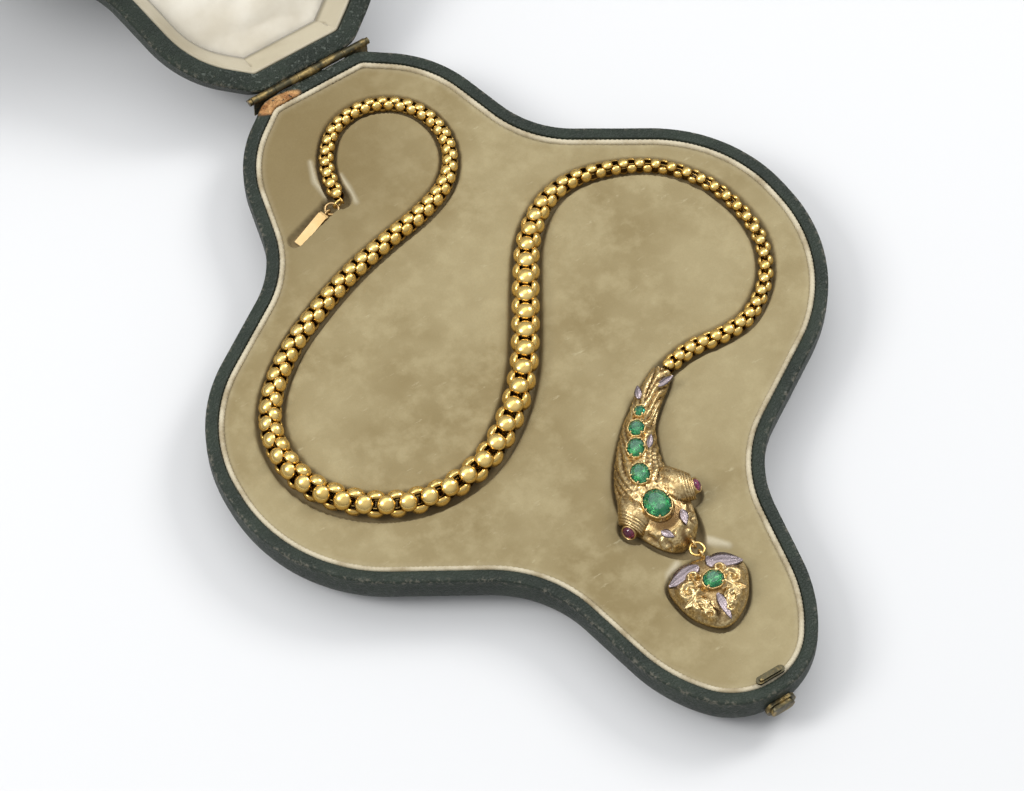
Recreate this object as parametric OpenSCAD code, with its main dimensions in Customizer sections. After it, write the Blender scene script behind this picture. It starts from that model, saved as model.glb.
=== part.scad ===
// Snake necklace lying open in its fitted leather case, with a jewelled head and a heart drop.
// Millimetres. Origin: middle of the case's flat foot. +Y points to the hinge, +Z is up.

/* [Case] */
// Height of the base from its foot to the leather rim
base_h = 13; // [12.5:0.5:16]
// Height of the lid from its rim to its top
lid_h = 13; // [12.5:0.5:16]
// Width of the base's flat leather rim
rim_w = 2.8; // [2.6:0.1:3.2]
// Width of the lid's leather rim
lid_rim_w = 4.2; // [3.6:0.2:4.6]
// Thickness of the base's floor and of the lid's top
floor_t = 2.4; // [1.6:0.2:3]
// How far the lid has swung back from closed, in degrees
open_angle = 152; // [120:1:155]

/* [Pad] */
// How far the velvet lies below the rim
pad_drop = 1.1; // [0.8:0.1:1.6]
// Depth of the shaped recess that holds the necklace
recess_d = 1.3; // [0.8:0.1:1.6]
// Room beside the necklace in its recess
recess_gap = 0.45; // [0.4:0.05:0.8]

/* [Chain] */
// Dome radius as a share of the chain's width
dome_share = 0.34; // [0.3:0.01:0.35]
// Dome height as a share of its radius
dome_rise = 0.55; // [0.4:0.05:0.6]
// Link plate thickness as a share of the chain's width
plate_share = 0.11; // [0.08:0.01:0.12]
// Clear space round a link in its neighbour's slot, as a share of the chain's width
link_gap = 0.054; // [0.046:0.002:0.06]

/* [Head and heart] */
// Angle that the head leans over to its right side, in degrees
head_roll = 8; // [0:1:12]
// Width of the heart
heart_w = 17.2; // [16:0.2:17.6]
// Greatest thickness of the heart without its relief
heart_t = 4.6; // [4:0.2:5.4]
// Height of the cast scrolls on the heart
scroll_h = 0.7; // [0.3:0.1:0.9]

/* [Hidden] */

leather = "darkslategray";
brass = "darkgoldenrod";
gold = "goldenrod";
bloomed_gold = "peru";
velvet = "darkkhaki";

// Right half of the rim's outer edge, from the hinge to the front: corner x, corner y, rounding radius
outline_corners = [
    [12.5, 95, 6], [26.5, 84.5, 29], [34, 56, 24], [72, 31.5, 36.5],
    [74.5, -12.5, 39], [27, -42, 27], [20.5, -76.5, 39], [9.5, -91.5, 18]];
outline_step = 11;
hinge_flat_y = outline_corners[0].y;
front_y = outline_corners[len(outline_corners) - 1].y;

// Rounding of the case's outer lower edge: how far in and how far up it reaches
edge_in = 7;
edge_up = 10;
rim_round = 0.5;

piping_r = 0.6;
piping_in = rim_w + 0.1 + piping_r;
pad_in = piping_in + piping_r + 0.1;
pad_top = base_h - pad_drop;
recess_z = pad_top - recess_d;
seat = 0.05;
lie_z = recess_z + seat;
fit_gap = 0.1;

rim_gap = 0.2;
lid_wall = lid_rim_w + fit_gap;
satin_z = 4.2;
lid_top_z = base_h + rim_gap + lid_h;

// Centre line of the chain from the tail to the neck: x, y, width, pitch of the domes in one row, turn of the rows
route = [
    [-11.9, 63.5, 3.7, 2.9, 18], [-11.6, 67.7, 3.7, 2.9, 18], [-9.1, 74.1, 3.6, 2.9, 20],
    [-3.7, 79.8, 3.55, 2.8, 28], [3.6, 81.7, 3.55, 2.8, 33], [10.6, 79.3, 3.6, 2.8, 31],
    [15.2, 74.0, 3.7, 2.9, 31], [16.6, 66.7, 3.7, 2.9, 37], [14.4, 59.5, 3.8, 3, 47],
    [9.1, 53.9, 4.2, 3.1, 58], [1.1, 50.6, 4.5, 3.4, 65], [-9.4, 48.4, 4.6, 3.6, 68],
    [-20.4, 45.6, 4.8, 3.8, 66], [-31.4, 41.4, 4.9, 3.9, 60], [-41.5, 36.4, 5, 4, 56],
    [-50.8, 29.1, 5.3, 4.1, 50], [-56.4, 20.8, 5.6, 4.1, 44], [-58.0, 11.1, 6, 4.3, 42],
    [-55.4, 1.6, 6.2, 4.6, 46], [-48.1, -6.7, 6.2, 4.6, 54], [-39.1, -11.3, 6.1, 4.7, 64],
    [-29.6, -12.3, 6.1, 4.9, 72], [-19.6, -9.9, 6.2, 5, 82], [-9.9, -3.6, 6.4, 4.9, 90],
    [-2.1, 4.2, 6.45, 4.8, 90], [4.3, 13.2, 6.4, 4.6, 90], [10.5, 22.6, 6.2, 4.4, 92],
    [17.2, 31.6, 5.6, 4, 98], [25.6, 37.9, 4.8, 3.7, 107], [34.6, 39.6, 4.1, 3.6, 114],
    [44.7, 36.9, 3.7, 3.6, 106], [53.2, 31.3, 3.5, 3.6, 92], [59.0, 22.3, 3.45, 3.6, 78],
    [61.1, 12.2, 3.45, 3.5, 72], [60.1, 3.2, 3.5, 3.4, 72], [55.3, -5.2, 3.6, 3.3, 78],
    [47.6, -10.8, 3.9, 3.2, 88], [40.5, -12.0, 4.1, 3.2, 90], [31.6, -11.2, 4.1, 3.2, 90],
    [25.0, -12.2, 3.9, 3.2, 90]];
route_steps = 10;

// Centre line of the head from the neck to the snout: x, y, half width, height over and depth under the line
head_rows = [
    [23.0, -12.9, 2.1, 2.0, 1.8], [20.0, -14.9, 2.6, 2.4, 2.1], [15.6, -17.9, 2.9, 2.7, 2.3],
    [11.4, -21.4, 3.3, 3.0, 2.5], [8.2, -25.4, 4.1, 3.4, 2.6], [5.4, -29.8, 5.1, 3.9, 2.7],
    [3.5, -34.2, 6.1, 4.3, 2.8], [2.6, -38.6, 6.9, 4.4, 2.8], [2.6, -43.0, 6.9, 3.9, 2.7],
    [3.0, -46.8, 5.9, 3.1, 2.5], [3.6, -49.8, 4.3, 2.3, 2.1], [4.0, -51.5, 2.0, 1.3, 1.4]];
head_steps = 3;
head_sides = 28;

// Cut stones along the head's crest: distance along the head's rows, half length, half width
crest_stones = [[2.75, 1.2, 1.1], [3.62, 1.8, 1.6], [4.62, 2.2, 1.8], [6.0, 2.4, 2.0], [7.75, 3.4, 2.8]];
stone_sides = 12;
stone_gap = 0.1;
collet_t = 0.45;
collet_rise = 1.3;

// Brow over each eye, seen from the head's axis: outward, forward, up, half length, half height
brow_rows = [
    [3.2, -3.8, 1.6, 4.2, 2.2], [4.8, -2.9, 2.0, 4.2, 2.7], [6.0, -1.9, 2.0, 3.8, 2.8],
    [7.0, -1.1, 1.8, 3.4, 2.7], [7.8, -0.4, 1.5, 3.1, 2.5], [8.4, 0.0, 1.3, 2.8, 2.3]];
brow_row_at = 7.8;
brow_shift = 0.7;
brow_slant = 0.4;
eye_facing = [0.78, 0.36, 0.5];
eye_r = 1.35;

// Scrolls on one side of the heart: centre x, centre y, first and last radius, first and last angle, width
heart_scrolls = [
    [-4.9, 0.6, 2.2, 0.7, 60, 420, 0.62], [-4.4, -3.2, 1.9, 0.6, -60, 260, 0.55],
    [-1.4, -3.0, 3.2, 2.6, 100, 190, 0.6], [-6.2, -0.6, 3.0, 3.4, 120, 250, 0.5]];
heart_mid = [1.25, -64.4];
heart_turn = -14;
heart_roll = 5;
heart_rings = 14;
heart_sides = 48;
heart_stone = [0.9, 1.6];
heart_stone_half = [2.2, 2.0];

ring_wire = 0.28;
jump_ring_mid = [4.3, -53.9];
jump_ring_r = 1.55;
loop_r = 1.0;
ring_z = lie_z + 3.1;

hinge_y = hinge_flat_y + 1;
hinge_z = base_h + rim_gap / 2;
hinge_half = 15;
knuckle_r = 0.95;
knuckles = 5;
pin_r = 0.5;
pin_gap = 0.04;
leaf_t = 0.28;

catch_mid = [0.3, front_y + 4.1];
catch_l = 7;
catch_w = 1.8;
catch_room = 0.55;
keeper_t = 0.3;

// Outline

function unit(v) = v / norm(v);
function right_of(heading) = [sin(heading), -cos(heading)];
function mirrored(q) = [[-q[0].x, q[0].y], [-q[1].x, q[1].y]];

// One rounded corner c between a and b, as pairs of a point and the outline's outward normal there
function corner_arc(a, c, b) = let (
    p = [c.x, c.y],
    u = unit(p - [a.x, a.y]),
    v = unit([b.x, b.y] - p),
    heading = atan2(u.y, u.x),
    turn = atan2(cross(u, v), u * v),
    side = -sign(turn),
    start = p - u * c[2] * tan(abs(turn) / 2),
    centre = start + side * c[2] * right_of(heading),
    steps = max(2, ceil(abs(turn) / outline_step)))
    [for (k = [0 : steps]) let (h = heading + turn * k / steps) [centre - side * c[2] * right_of(h), -right_of(h)]];

half_corners = concat([[0, hinge_flat_y, 0]], outline_corners, [[0, front_y, 0]]);
half_outline = [
    for (i = [1 : len(half_corners) - 2]) each corner_arc(half_corners[i - 1], half_corners[i], half_corners[i + 1])];
outline = concat(half_outline, [for (i = [len(half_outline) - 1 : -1 : 0]) mirrored(half_outline[i])]);

function inset(distance) = [for (q = outline) q[0] - distance * q[1]];
function level(points, z) = [for (p = points) [p.x, p.y, z]];
// The outline's ring at one inset and height, given as a pair
function case_ring(step) = level(inset(step[0]), step[1]);

// Solids from rings of points that run clockwise seen from above

function band(i, j, sides, n) = [
    for (k = [0 : sides - 1]) let (a = i * sides, b = j * sides, m = (k + 1) % sides)
        each [[a + k, a + m, b + m], [a + k, b + m, b + k]]];

// Closes a ring by strips across it, so that a waisted ring closes cleanly too
function cap(first, sides, top) = [
    for (k = [0 : sides / 2 - 2]) let (a = first + k, b = a + 1, d = first + sides - 1 - k, c = d - 1)
        each top ? [[a, b, c], [a, c, d]] : [[c, b, a], [d, c, a]]];

module loft(rings) {
    sides = len(rings[0]);
    last = len(rings) - 1;
    polyhedron(
        [for (r = rings) each r],
        concat(
            cap(0, sides, false),
            [for (i = [0 : last - 1]) each band(i, i + 1, sides)],
            cap(last * sides, sides, true)));
}

// Rings whose last one joins the first, such as a hoop
module closed_loft(rings) {
    sides = len(rings[0]);
    count = len(rings);
    polyhedron([for (r = rings) each r], [for (i = [0 : count - 1]) each band(i, (i + 1) % count, sides)]);
}

// Splines through the rows of a table: every column is smoothed alike

function row(table, i) = let (last = len(table) - 1)
    i < 0 ? 2 * table[0] - table[1] : i > last ? 2 * table[last] - table[last - 1] : table[i];
function between(table, u) = let (
    i = min(floor(u), len(table) - 2),
    t = u - i,
    a = row(table, i - 1),
    b = row(table, i),
    c = row(table, i + 1),
    d = row(table, i + 2))
    (2 * b + (c - a) * t + (2 * a - 5 * b + 4 * c - d) * pow(t, 2) + (3 * b - a - 3 * c + d) * pow(t, 3)) / 2;
function heading_at(table, u) = let (
    last = len(table) - 1,
    step = between(table, min(u + 0.05, last)) - between(table, max(u - 0.05, 0)))
    atan2(step.y, step.x);

// Case

// Outer and inner wall of a tray, as insets and heights from its foot
function tray_steps(height, rim) = concat(
    [for (t = [0 : 22.5 : 90]) [edge_in * (1 - sin(t)), edge_up * (1 - cos(t))]],
    [[0, height - rim_round], [rim_round, height], [rim, height], [rim, floor_t]]);

module tray(height, rim) {
    loft([for (step = tray_steps(height, rim)) case_ring(step)]);
}

module case_base() {
    color(leather) tray(base_h, rim_w);
}

module base_piping() {
    corners = [for (k = [0 : 5]) [piping_in + piping_r * cos(60 * k), base_h - 0.5 - piping_r * sin(60 * k)]];
    color("ivory") closed_loft([for (c = corners) case_ring(c)]);
}

// Half width of the recess at one place of the route
function recess_half(p) = p[2] / 2 + recess_gap;

module recess_plan() {
    last = len(route) - 1;
    places = [for (u = [0 : 0.25 : last]) u];
    left = [for (u = places) let (p = between(route, u), h = heading_at(route, u))
        [p.x, p.y] - recess_half(p) * right_of(h)];
    right = [for (i = [len(places) - 1 : -1 : 0]) let (u = places[i], p = between(route, u), h = heading_at(route, u))
        [p.x, p.y] + recess_half(p) * right_of(h)];
    polygon(concat(left, right));
    for (u = [0 : 0.5 : len(head_rows) - 1]) let (r = between(head_rows, u))
        translate([r.x, r.y]) circle(r[2] + 0.9, $fn = 24);
    for (side = [-1, 1]) translate([3.2 + side * 7.2, -41.6]) circle(4.6, $fn = 24);
    translate(heart_mid) circle(heart_w / 2 + 1.9, $fn = 40);
    translate(jump_ring_mid) circle(3.6, $fn = 24);
    translate(tongue_mid) rotate(tongue_heading) square([tongue_l + 3, 3.6], center = true);
    translate(tail_ring_mid) circle(tail_ring_r + 1.2, $fn = 24);
    translate(tail_link_mid) circle(tail_link_r + 0.9, $fn = 24);
}

module velvet_pad() {
    color(velvet) {
        translate([0, 0, floor_t + fit_gap]) linear_extrude(recess_z - floor_t - fit_gap) polygon(inset(pad_in));
        translate([0, 0, recess_z]) linear_extrude(recess_d) difference() {
            polygon(inset(pad_in));
            recess_plan();
        }
    }
}

// Knuckles and leaf of one half of the hinge, drawn with the hinge axis on X and the leaf below it
module hinge_half(first) {
    pitch = 2 * hinge_half / knuckles;
    difference() {
        union() {
            translate([-hinge_half, -0.98, -4.4]) cube([2 * hinge_half, leaf_t, 3.4]);
            for (k = [first : 2 : knuckles - 1]) translate([-hinge_half + k * pitch + 0.05, 0, 0]) {
                rotate([0, 90, 0]) cylinder(pitch - 0.1, r = knuckle_r, $fn = 32);
                translate([0, -0.98, -1.1]) cube([pitch - 0.1, leaf_t, 1.1]);
            }
        }
        translate([-hinge_half - 1, 0, 0]) rotate([0, 90, 0]) cylinder(2 * hinge_half + 2, r = pin_r + pin_gap, $fn = 32);
    }
}

module base_hinge() {
    color(brass) translate([0, hinge_y, hinge_z]) hinge_half(0);
}

module hinge_pin() {
    color(brass) translate([0, hinge_y, hinge_z]) rotate([0, 90, 0]) {
        cylinder(2 * hinge_half + 0.4, r = pin_r, center = true, $fn = 32);
        for (side = [-1, 1]) translate([0, 0, side * (hinge_half + 0.45)]) cylinder(0.7, r = 0.8, center = true, $fn = 32);
    }
}

module bar_plan(length, width) {
    square([length - width, width], center = true);
    for (side = [-1, 1]) translate([side * (length - width) / 2, 0]) circle(width / 2, $fn = 32);
}

module latch_catch() {
    color(brass) translate([catch_mid.x, catch_mid.y, base_h + 0.15]) {
        linear_extrude(0.7) bar_plan(catch_l, catch_w);
        linear_extrude(1.2) bar_plan(5.6, 1.1);
    }
}

module push_button() {
    color(brass) translate([0, front_y - fit_gap / 2, base_h - 5.2]) rotate([90, 0, 0]) {
        linear_extrude(0.8) bar_plan(7.4, 4.2);
        linear_extrude(1.7) bar_plan(5.8, 3);
    }
}

// Lid: built closed over the base, then swung back about the hinge

module swung_open() {
    translate([0, hinge_y, hinge_z]) rotate([-open_angle, 0, 0]) translate([0, -hinge_y, -hinge_z]) children();
}

// Turns a shape drawn like the base, foot down, into the closed lid over it
module as_lid() {
    swung_open() translate([0, 0, lid_top_z]) mirror([0, 0, 1]) children();
}

// The lid's rim is notched where the catch stands up into it
module lid_shell() {
    color(leather) difference() {
        as_lid() tray(lid_h, lid_rim_w);
        swung_open() translate([catch_mid.x - catch_l / 2 - catch_room, catch_mid.y - catch_w / 2 - catch_room, base_h])
            cube([catch_l + 2 * catch_room, catch_w + 2 * catch_room, 1.8]);
    }
}

module lid_lining() {
    steps = [
        [lid_wall, lid_h - 1.6], [lid_wall, satin_z + fit_gap],
        [lid_wall + 4.9, satin_z + fit_gap + 0.2], [lid_wall + 0.8, lid_h - 1.6]];
    color("tan") as_lid() closed_loft([for (s = steps) case_ring(s)]);
}

module lid_satin() {
    steps = [
        [lid_wall, floor_t + fit_gap], [lid_wall, satin_z], [lid_wall + 4.9, satin_z + 0.2],
        [lid_wall + 8, satin_z + 0.9], [lid_wall + 12, satin_z + 1.2]];
    color("ivory") as_lid() loft([for (s = steps) case_ring(s)]);
}

module lid_hinge() {
    color(brass) swung_open() translate([0, hinge_y, hinge_z]) mirror([0, 0, 1]) hinge_half(1);
}

module lid_keeper() {
    color(brass) swung_open()
        translate([catch_mid.x - catch_l / 2, catch_mid.y - catch_w / 2 - catch_room + 0.04, base_h + rim_gap + 0.3])
            cube([catch_l, keeper_t, 1.2]);
}

// Chain

samples = [for (i = [0 : (len(route) - 1) * route_steps]) between(route, i / route_steps)];
distances = [
    for (i = 0, s = 0; i < len(samples); i = i + 1, s = i < len(samples)
        ? s + norm([samples[i].x - samples[i - 1].x, samples[i].y - samples[i - 1].y]) : s) s];
chain_l = distances[len(distances) - 1];
along = [for (column = [0 : 4]) [for (i = [0 : len(samples) - 1]) [distances[i], samples[i][column]]]];

function place(s) = [for (column = [0 : 4]) lookup(s, along[column])];
function chain_heading(s) = let (step = place(min(s + 0.6, chain_l)) - place(max(s - 0.6, 0))) atan2(step.y, step.x);
function bend(s) = let (a = chain_heading(max(s - 1.5, 0)), b = chain_heading(min(s + 1.5, chain_l)))
    abs(((b - a + 540) % 360) - 180) * PI / 180 / 3;

link_spots = [for (s = 0; s <= chain_l; s = s + place(s)[3] / 2) s];
stretch = chain_l / link_spots[len(link_spots) - 1];

function chain_axis_z(width) = lie_z + width / 2;
function plate_t(width) = plate_share * width;
function slot_half(width) = plate_t(width) / 2 + link_gap * width;
function wire_w(width) = 0.1 * width;
function slot_reach(width, pitch) = pitch / 4 + link_gap * width / 2 + 0.1;

// Flat plate with a slot that the next links pass through, lying on the XY plane
module link_plan(width, pitch, slot) {
    reach = slot_reach(width, pitch);
    difference() {
        bar_plan(2 * (reach + wire_w(width)), 2 * (slot + wire_w(width)));
        bar_plan(2 * reach, 2 * slot);
    }
}

// Domed cap on +Z, with its flat side at height z
module dome(r, z) {
    rise = dome_rise * r;
    ball_r = (pow(r, 2) + pow(rise, 2)) / (2 * rise);
    translate([0, 0, z]) intersection() {
        translate([0, 0, rise - ball_r]) sphere(ball_r, $fn = 48);
        cylinder(rise, r = r + 1, $fn = 48);
    }
}

// One link along X: a slotted plate in the XZ plane with a dome on each long side
module chain_link(width, pitch, curve) {
    bent = 0.2 * width * curve;
    r = min(dome_share * width * (1 - bent), (pitch * (1 - 1.5 * bent) - 0.14) / 2);
    dome_z = width / 2 - dome_rise * r;
    slot = slot_half(width);
    post_z = slot + wire_w(width) / 2;
    translate([0, plate_t(width) / 2, 0]) rotate([90, 0, 0]) linear_extrude(plate_t(width)) {
        link_plan(width, pitch, slot);
        for (side = [-1, 1]) translate([0, side * (post_z + dome_z) / 2])
            square([0.9 * r, dome_z - post_z + 0.02], center = true);
    }
    for (flip = [0, 180]) rotate([flip, 0, 0]) dome(r, dome_z);
}

// Stands a shape drawn along X at one place of the chain; even links carry the turn, odd ones a quarter turn more
module on_chain(s, quarter) {
    p = place(s);
    translate([p.x, p.y, chain_axis_z(p[2])]) rotate([0, 0, chain_heading(s)]) rotate([-p[4] + 90 * quarter, 0, 0])
        children();
}

module chain() {
    color(gold) {
        first = place(0);
        on_chain(0, 0) linear_extrude(plate_t(first[2]), center = true) link_plan(first[2], first[3], 0.45);
        for (i = [1 : len(link_spots) - 1]) {
            s = link_spots[i] * stretch;
            p = place(s);
            on_chain(s, i % 2 == 0 ? 1 : 0) chain_link(p[2], p[3], bend(s));
        }
    }
}

// Tail clasp: a small upright link, a flat ring and a folded spring tongue

tail_start = place(0);
tail_axis = -right_of(chain_heading(0) - 90);
tail_eye = [tail_start.x, tail_start.y] - 0.3 * [cos(chain_heading(0)), sin(chain_heading(0))];
tail_way = unit([-0.98, -0.17]);
tail_link_r = 1.1;
tail_link_mid = tail_eye + tail_link_r * tail_way;
tail_ring_r = 1.5;
tail_ring_mid = tail_eye + (1.32 * tail_link_r + tail_ring_r) * tail_way;
tongue_heading = 196.8;
tongue_way = [cos(tongue_heading), sin(tongue_heading)];
tongue_eye = tail_ring_mid + tail_ring_r * tongue_way;
tongue_l = 8.4;
tongue_mid = tongue_eye + (1 + tongue_l / 2) * tongue_way;
tail_z = lie_z + 1.4;

module hoop(r, wire, sides = 40) {
    rotate_extrude($fn = sides) translate([r, 0]) circle(wire, $fn = sides / 2);
}

// Upright hoop whose plane runs along a heading
module upright_hoop(mid, z, heading, r, wire, sides = 40) {
    translate([mid.x, mid.y, z]) rotate([90, 0, heading]) hoop(r, wire, sides);
}

module tail_link() {
    color(gold) upright_hoop(tail_link_mid, tail_z + 0.15, atan2(tail_way.y, tail_way.x), tail_link_r, 0.26);
}

module tail_ring() {
    color("rosybrown") translate([tail_ring_mid.x, tail_ring_mid.y, tail_z]) hoop(tail_ring_r, ring_wire);
}

module clasp_tongue() {
    leaf = 0.5;
    color("rosybrown") {
        upright_hoop(tongue_eye, tail_z, tongue_heading, 0.8, 0.26);
        translate([tongue_eye.x, tongue_eye.y, tail_z]) rotate([0, 0, tongue_heading]) {
            translate([0.8, -1.1, -0.6]) cube([1.6, 2.2, 1.2]);
            translate([0, 1.1, 0]) rotate([90, 0, 0]) linear_extrude(2.2) polygon([
                [1.4, -0.6], [1.2 + tongue_l, -1.3], [1.4 + tongue_l, -1.1], [1.5, 1.1],
                [1.5, 1.1 - leaf], [tongue_l, -0.85], [1.5, -0.1]]);
        }
    }
}

// Head: every place on it is worked out from its rows and its lean

function head_frame(u) = let (
    r = between(head_rows, u),
    h = heading_at(head_rows, u),
    outward = [-right_of(h).x, -right_of(h).y, 0] * cos(head_roll) + [0, 0, 1] * sin(head_roll))
    [[r.x, r.y, lie_z + 0.05 + norm([r[2] * sin(head_roll), r[4]])], outward, cross([cos(h), sin(h), 0], outward), [cos(h), sin(h), 0], r];

// Point of the head at a place u: v across to the left of the snout's way, w up from the axis
function head_point(u, v, w) = let (f = head_frame(u)) f[0] + v * f[1] + w * f[2];

// Low cast ribs on the neck and flanks, fading towards the crest and the snout
function head_relief(u, a) = let (fade = max(0, 1 - u / 9) * pow(cos(a), 2))
    0.22 * fade * cos(a * 9 + u * 50);

function head_ring(u) = let (r = between(head_rows, u))
    [for (k = [0 : head_sides - 1]) let (
        a = -k * 360 / head_sides,
        out = 1 + head_relief(u, a) / r[2],
        w = sin(a) > 0 ? r[3] * sin(a) : -r[4] * pow(-sin(a), 0.7))
        head_point(u, r[2] * cos(a) * out, w * out)];

// Stands a shape on the head with its X along the snout's way
module on_head(u, v, w) {
    f = head_frame(u);
    p = head_point(u, v, w);
    multmatrix([
        [f[3].x, f[1].x, f[2].x, p.x],
        [f[3].y, f[1].y, f[2].y, p.y],
        [f[3].z, f[1].z, f[2].z, p.z]]) children();
}

module aimed(from, way) {
    translate(from) rotate([0, acos(way.z / norm(way)), atan2(way.y, way.x)]) children();
}

function oval(half, grow, z, sides) = [
    for (k = [0 : sides - 1]) let (a = -(k + 0.5) * 360 / sides) [(half.x + grow) * cos(a), (half.y + grow) * sin(a), z]];

// Faceted stone with a flat table, standing with its girdle at z = 0
module cut_stone(half) {
    deep = 0.42 * half.y;
    loft([
        oval(half * 0.35, 0, -deep * 1.4, stone_sides), oval(half, 0, -0.12, stone_sides),
        oval(half, 0, 0.08, stone_sides), oval(half * 0.62, 0, deep, stone_sides)]);
}

// Oval setting whose upper edge is level with the stone's girdle
module collet_body(half, depth) {
    loft([for (s = [[0.25, -depth], [0.1, -0.5 * depth], [0, 0.05]])
        oval(half, stone_gap + collet_t + s[0], s[1], stone_sides)]);
}

module collet_well(half) {
    loft([oval(half, stone_gap, -0.62 * half.y - 0.25, stone_sides), oval(half, stone_gap, half.y, stone_sides)]);
}

// Claws round a stone: each leans from the setting's wall towards the crown
module claws(half, count) {
    for (k = [0 : count - 1]) let (a = (k + 0.5) * 360 / count, way = [cos(a), sin(a)]) hull() {
        foot = [(half.x + 0.38) * way.x, (half.y + 0.38) * way.y];
        tip = [(half.x + 0.3) * way.x, (half.y + 0.3) * way.y];
        translate([foot.x, foot.y, -0.7]) cylinder(0.3, r = 0.28, $fn = 6);
        translate([tip.x, tip.y, 0.42]) cylinder(0.2, r = 0.17, $fn = 6);
    }
}

function brow_ring(row, side) = [
    for (k = [0 : 13]) let (a = k * side * 360 / 14)
        [row[1] + row[3] * cos(a), side * (row[0] - brow_slant * row[3] * cos(a)), row[2] + row[4] * sin(a)]];

// Swollen brow from the crest out to the eye, stepped into ribs near the eye
module brow(side) {
    last = len(brow_rows) - 1;
    on_head(brow_row_at, brow_shift, 0) loft([for (u = [0 : 0.5 : last]) let (
        row = between(brow_rows, u),
        rib = u > 2 ? 0.14 * (floor(u * 2) % 2) : 0)
        brow_ring([row[0], row[1], row[2], row[3] - rib, row[4] - rib], side)]);
}

function eye_way(side) = [eye_facing.y, side * eye_facing.x, eye_facing.z];

module at_eye(side) {
    tip = brow_rows[len(brow_rows) - 1];
    on_head(brow_row_at, brow_shift, 0)
        aimed([tip[1], side * (tip[0] - 0.2), tip[2]], eye_way(side)) children();
}

crest_lift = 0.75;
module at_crest(stone) {
    r = between(head_rows, stone[0]);
    on_head(stone[0], 0, r[3] + crest_lift) children();
}

module snake_head() {
    last = len(head_rows) - 1;
    color(bloomed_gold) difference() {
        union() {
            loft([for (i = [0 : last * head_steps]) head_ring(i / head_steps)]);
            for (side = [-1, 1]) {
                brow(side);
                at_eye(side) cylinder(1.3, r1 = 1.7, r2 = eye_r + 0.5, $fn = 12);
            }
            for (stone = crest_stones) at_crest(stone) {
                collet_body([stone[1], stone[2]], collet_rise + 0.5);
                claws([stone[1], stone[2]], stone[1] > 2 ? 6 : 4);
            }
            upright_hoop([jump_ring_mid.x, jump_ring_mid.y + jump_ring_r], ring_z - 0.1, 90, loop_r, ring_wire, 20);
            neck_eye();
        }
        for (stone = crest_stones) at_crest(stone) collet_well([stone[1], stone[2]]);
        for (side = [-1, 1]) at_eye(side) translate([0, 0, 0.7]) cylinder(2, r = eye_r + 0.08, $fn = 12);
    }
}

// Plain loop on the neck that holds the chain's last link
module neck_eye() {
    last = place(chain_l);
    ahead = [cos(chain_heading(chain_l)), sin(chain_heading(chain_l)), 0] * last[3] / 2;
    quarter = len(link_spots) % 2 == 0 ? 1 : 0;
    translate(ahead) on_chain(chain_l, quarter) rotate([90, 0, 0])
        linear_extrude(plate_t(last[2]), center = true) link_plan(last[2], last[3], slot_half(last[2]));
}

module crest_emerald(i) {
    stone = crest_stones[i];
    color("seagreen") at_crest(stone) cut_stone([stone[1], stone[2]]);
}

module ruby(side) {
    color("crimson") at_eye(side) translate([0, 0, 0.75]) {
        cylinder(0.5, r = eye_r, $fn = 32);
        translate([0, 0, 0.45]) dome(eye_r, 0);
    }
}

module emerald_1() crest_emerald(0);
module emerald_2() crest_emerald(1);
module emerald_3() crest_emerald(2);
module emerald_4() crest_emerald(3);
module emerald_5() crest_emerald(4);
module ruby_left() ruby(-1);
module ruby_right() ruby(1);

module jump_ring() {
    color(gold) translate([jump_ring_mid.x, jump_ring_mid.y, ring_z]) hoop(jump_ring_r, ring_wire);
}

// Heart: a puffed body whose edge has a point below, two full lobes and a shallow notch above

function bump(a, at, spread) = exp(-pow((abs(a) - at) / spread, 2));
function heart_edge(a) = heart_w / 2 * (
    0.89 + 0.13 * bump(a, 0, 26) + 0.24 * bump(a, 122, 28) + 0.11 * bump(a, 175, 30));

function segment_distance(p, a, b) = let (t = max(0, min(1, (p - a) * (b - a) / ((b - a) * (b - a)))))
    norm(p - a - t * (b - a));
function spiral(s) = [for (k = [0 : 9]) let (f = k / 9, a = s[4] + (s[5] - s[4]) * f)
    [s[0], s[1]] + (s[2] + (s[3] - s[2]) * f) * [cos(a), sin(a)]];
spirals = [for (s = heart_scrolls) spiral(s)];

// Height of the cast scrolls over one point of the heart, the same on both sides
function scroll_height(p) = let (q = [-abs(p.x), p.y]) max([
    for (i = [0 : len(spirals) - 1]) let (
        path = spirals[i],
        d = min([for (k = [0 : len(path) - 2]) segment_distance(q, path[k], path[k + 1])]))
        scroll_h * exp(-pow(d / heart_scrolls[i][6], 2))]);

function heart_point(ring, k, top) = let (
    a = -k * 360 / heart_sides,
    f = ring / heart_rings,
    r = heart_edge(((a + 540) % 360) - 180) * f,
    p = r * [sin(-a), -cos(a)],
    body = heart_t / 2 * pow(max(0, 1 - pow(f, 3.2)), 0.5))
    [p.x, p.y, top ? body + scroll_height(p) * min(1, (1 - f) * 6) : -body];

module heart_body() {
    top = [for (ring = [heart_rings : -1 : 1]) [for (k = [heart_sides - 1 : -1 : 0]) heart_point(ring, k, true)]];
    under = [for (ring = [1 : 4 : heart_rings]) [for (k = [heart_sides - 1 : -1 : 0]) heart_point(ring, k, false)]];
    loft(concat(under, top));
}

module on_heart() {
    translate([heart_mid.x, heart_mid.y, lie_z + heart_t / 2 + 0.3]) rotate([0, -heart_roll, heart_turn]) children();
}

heart_stone_z = heart_t / 2 + 0.9;

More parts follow.
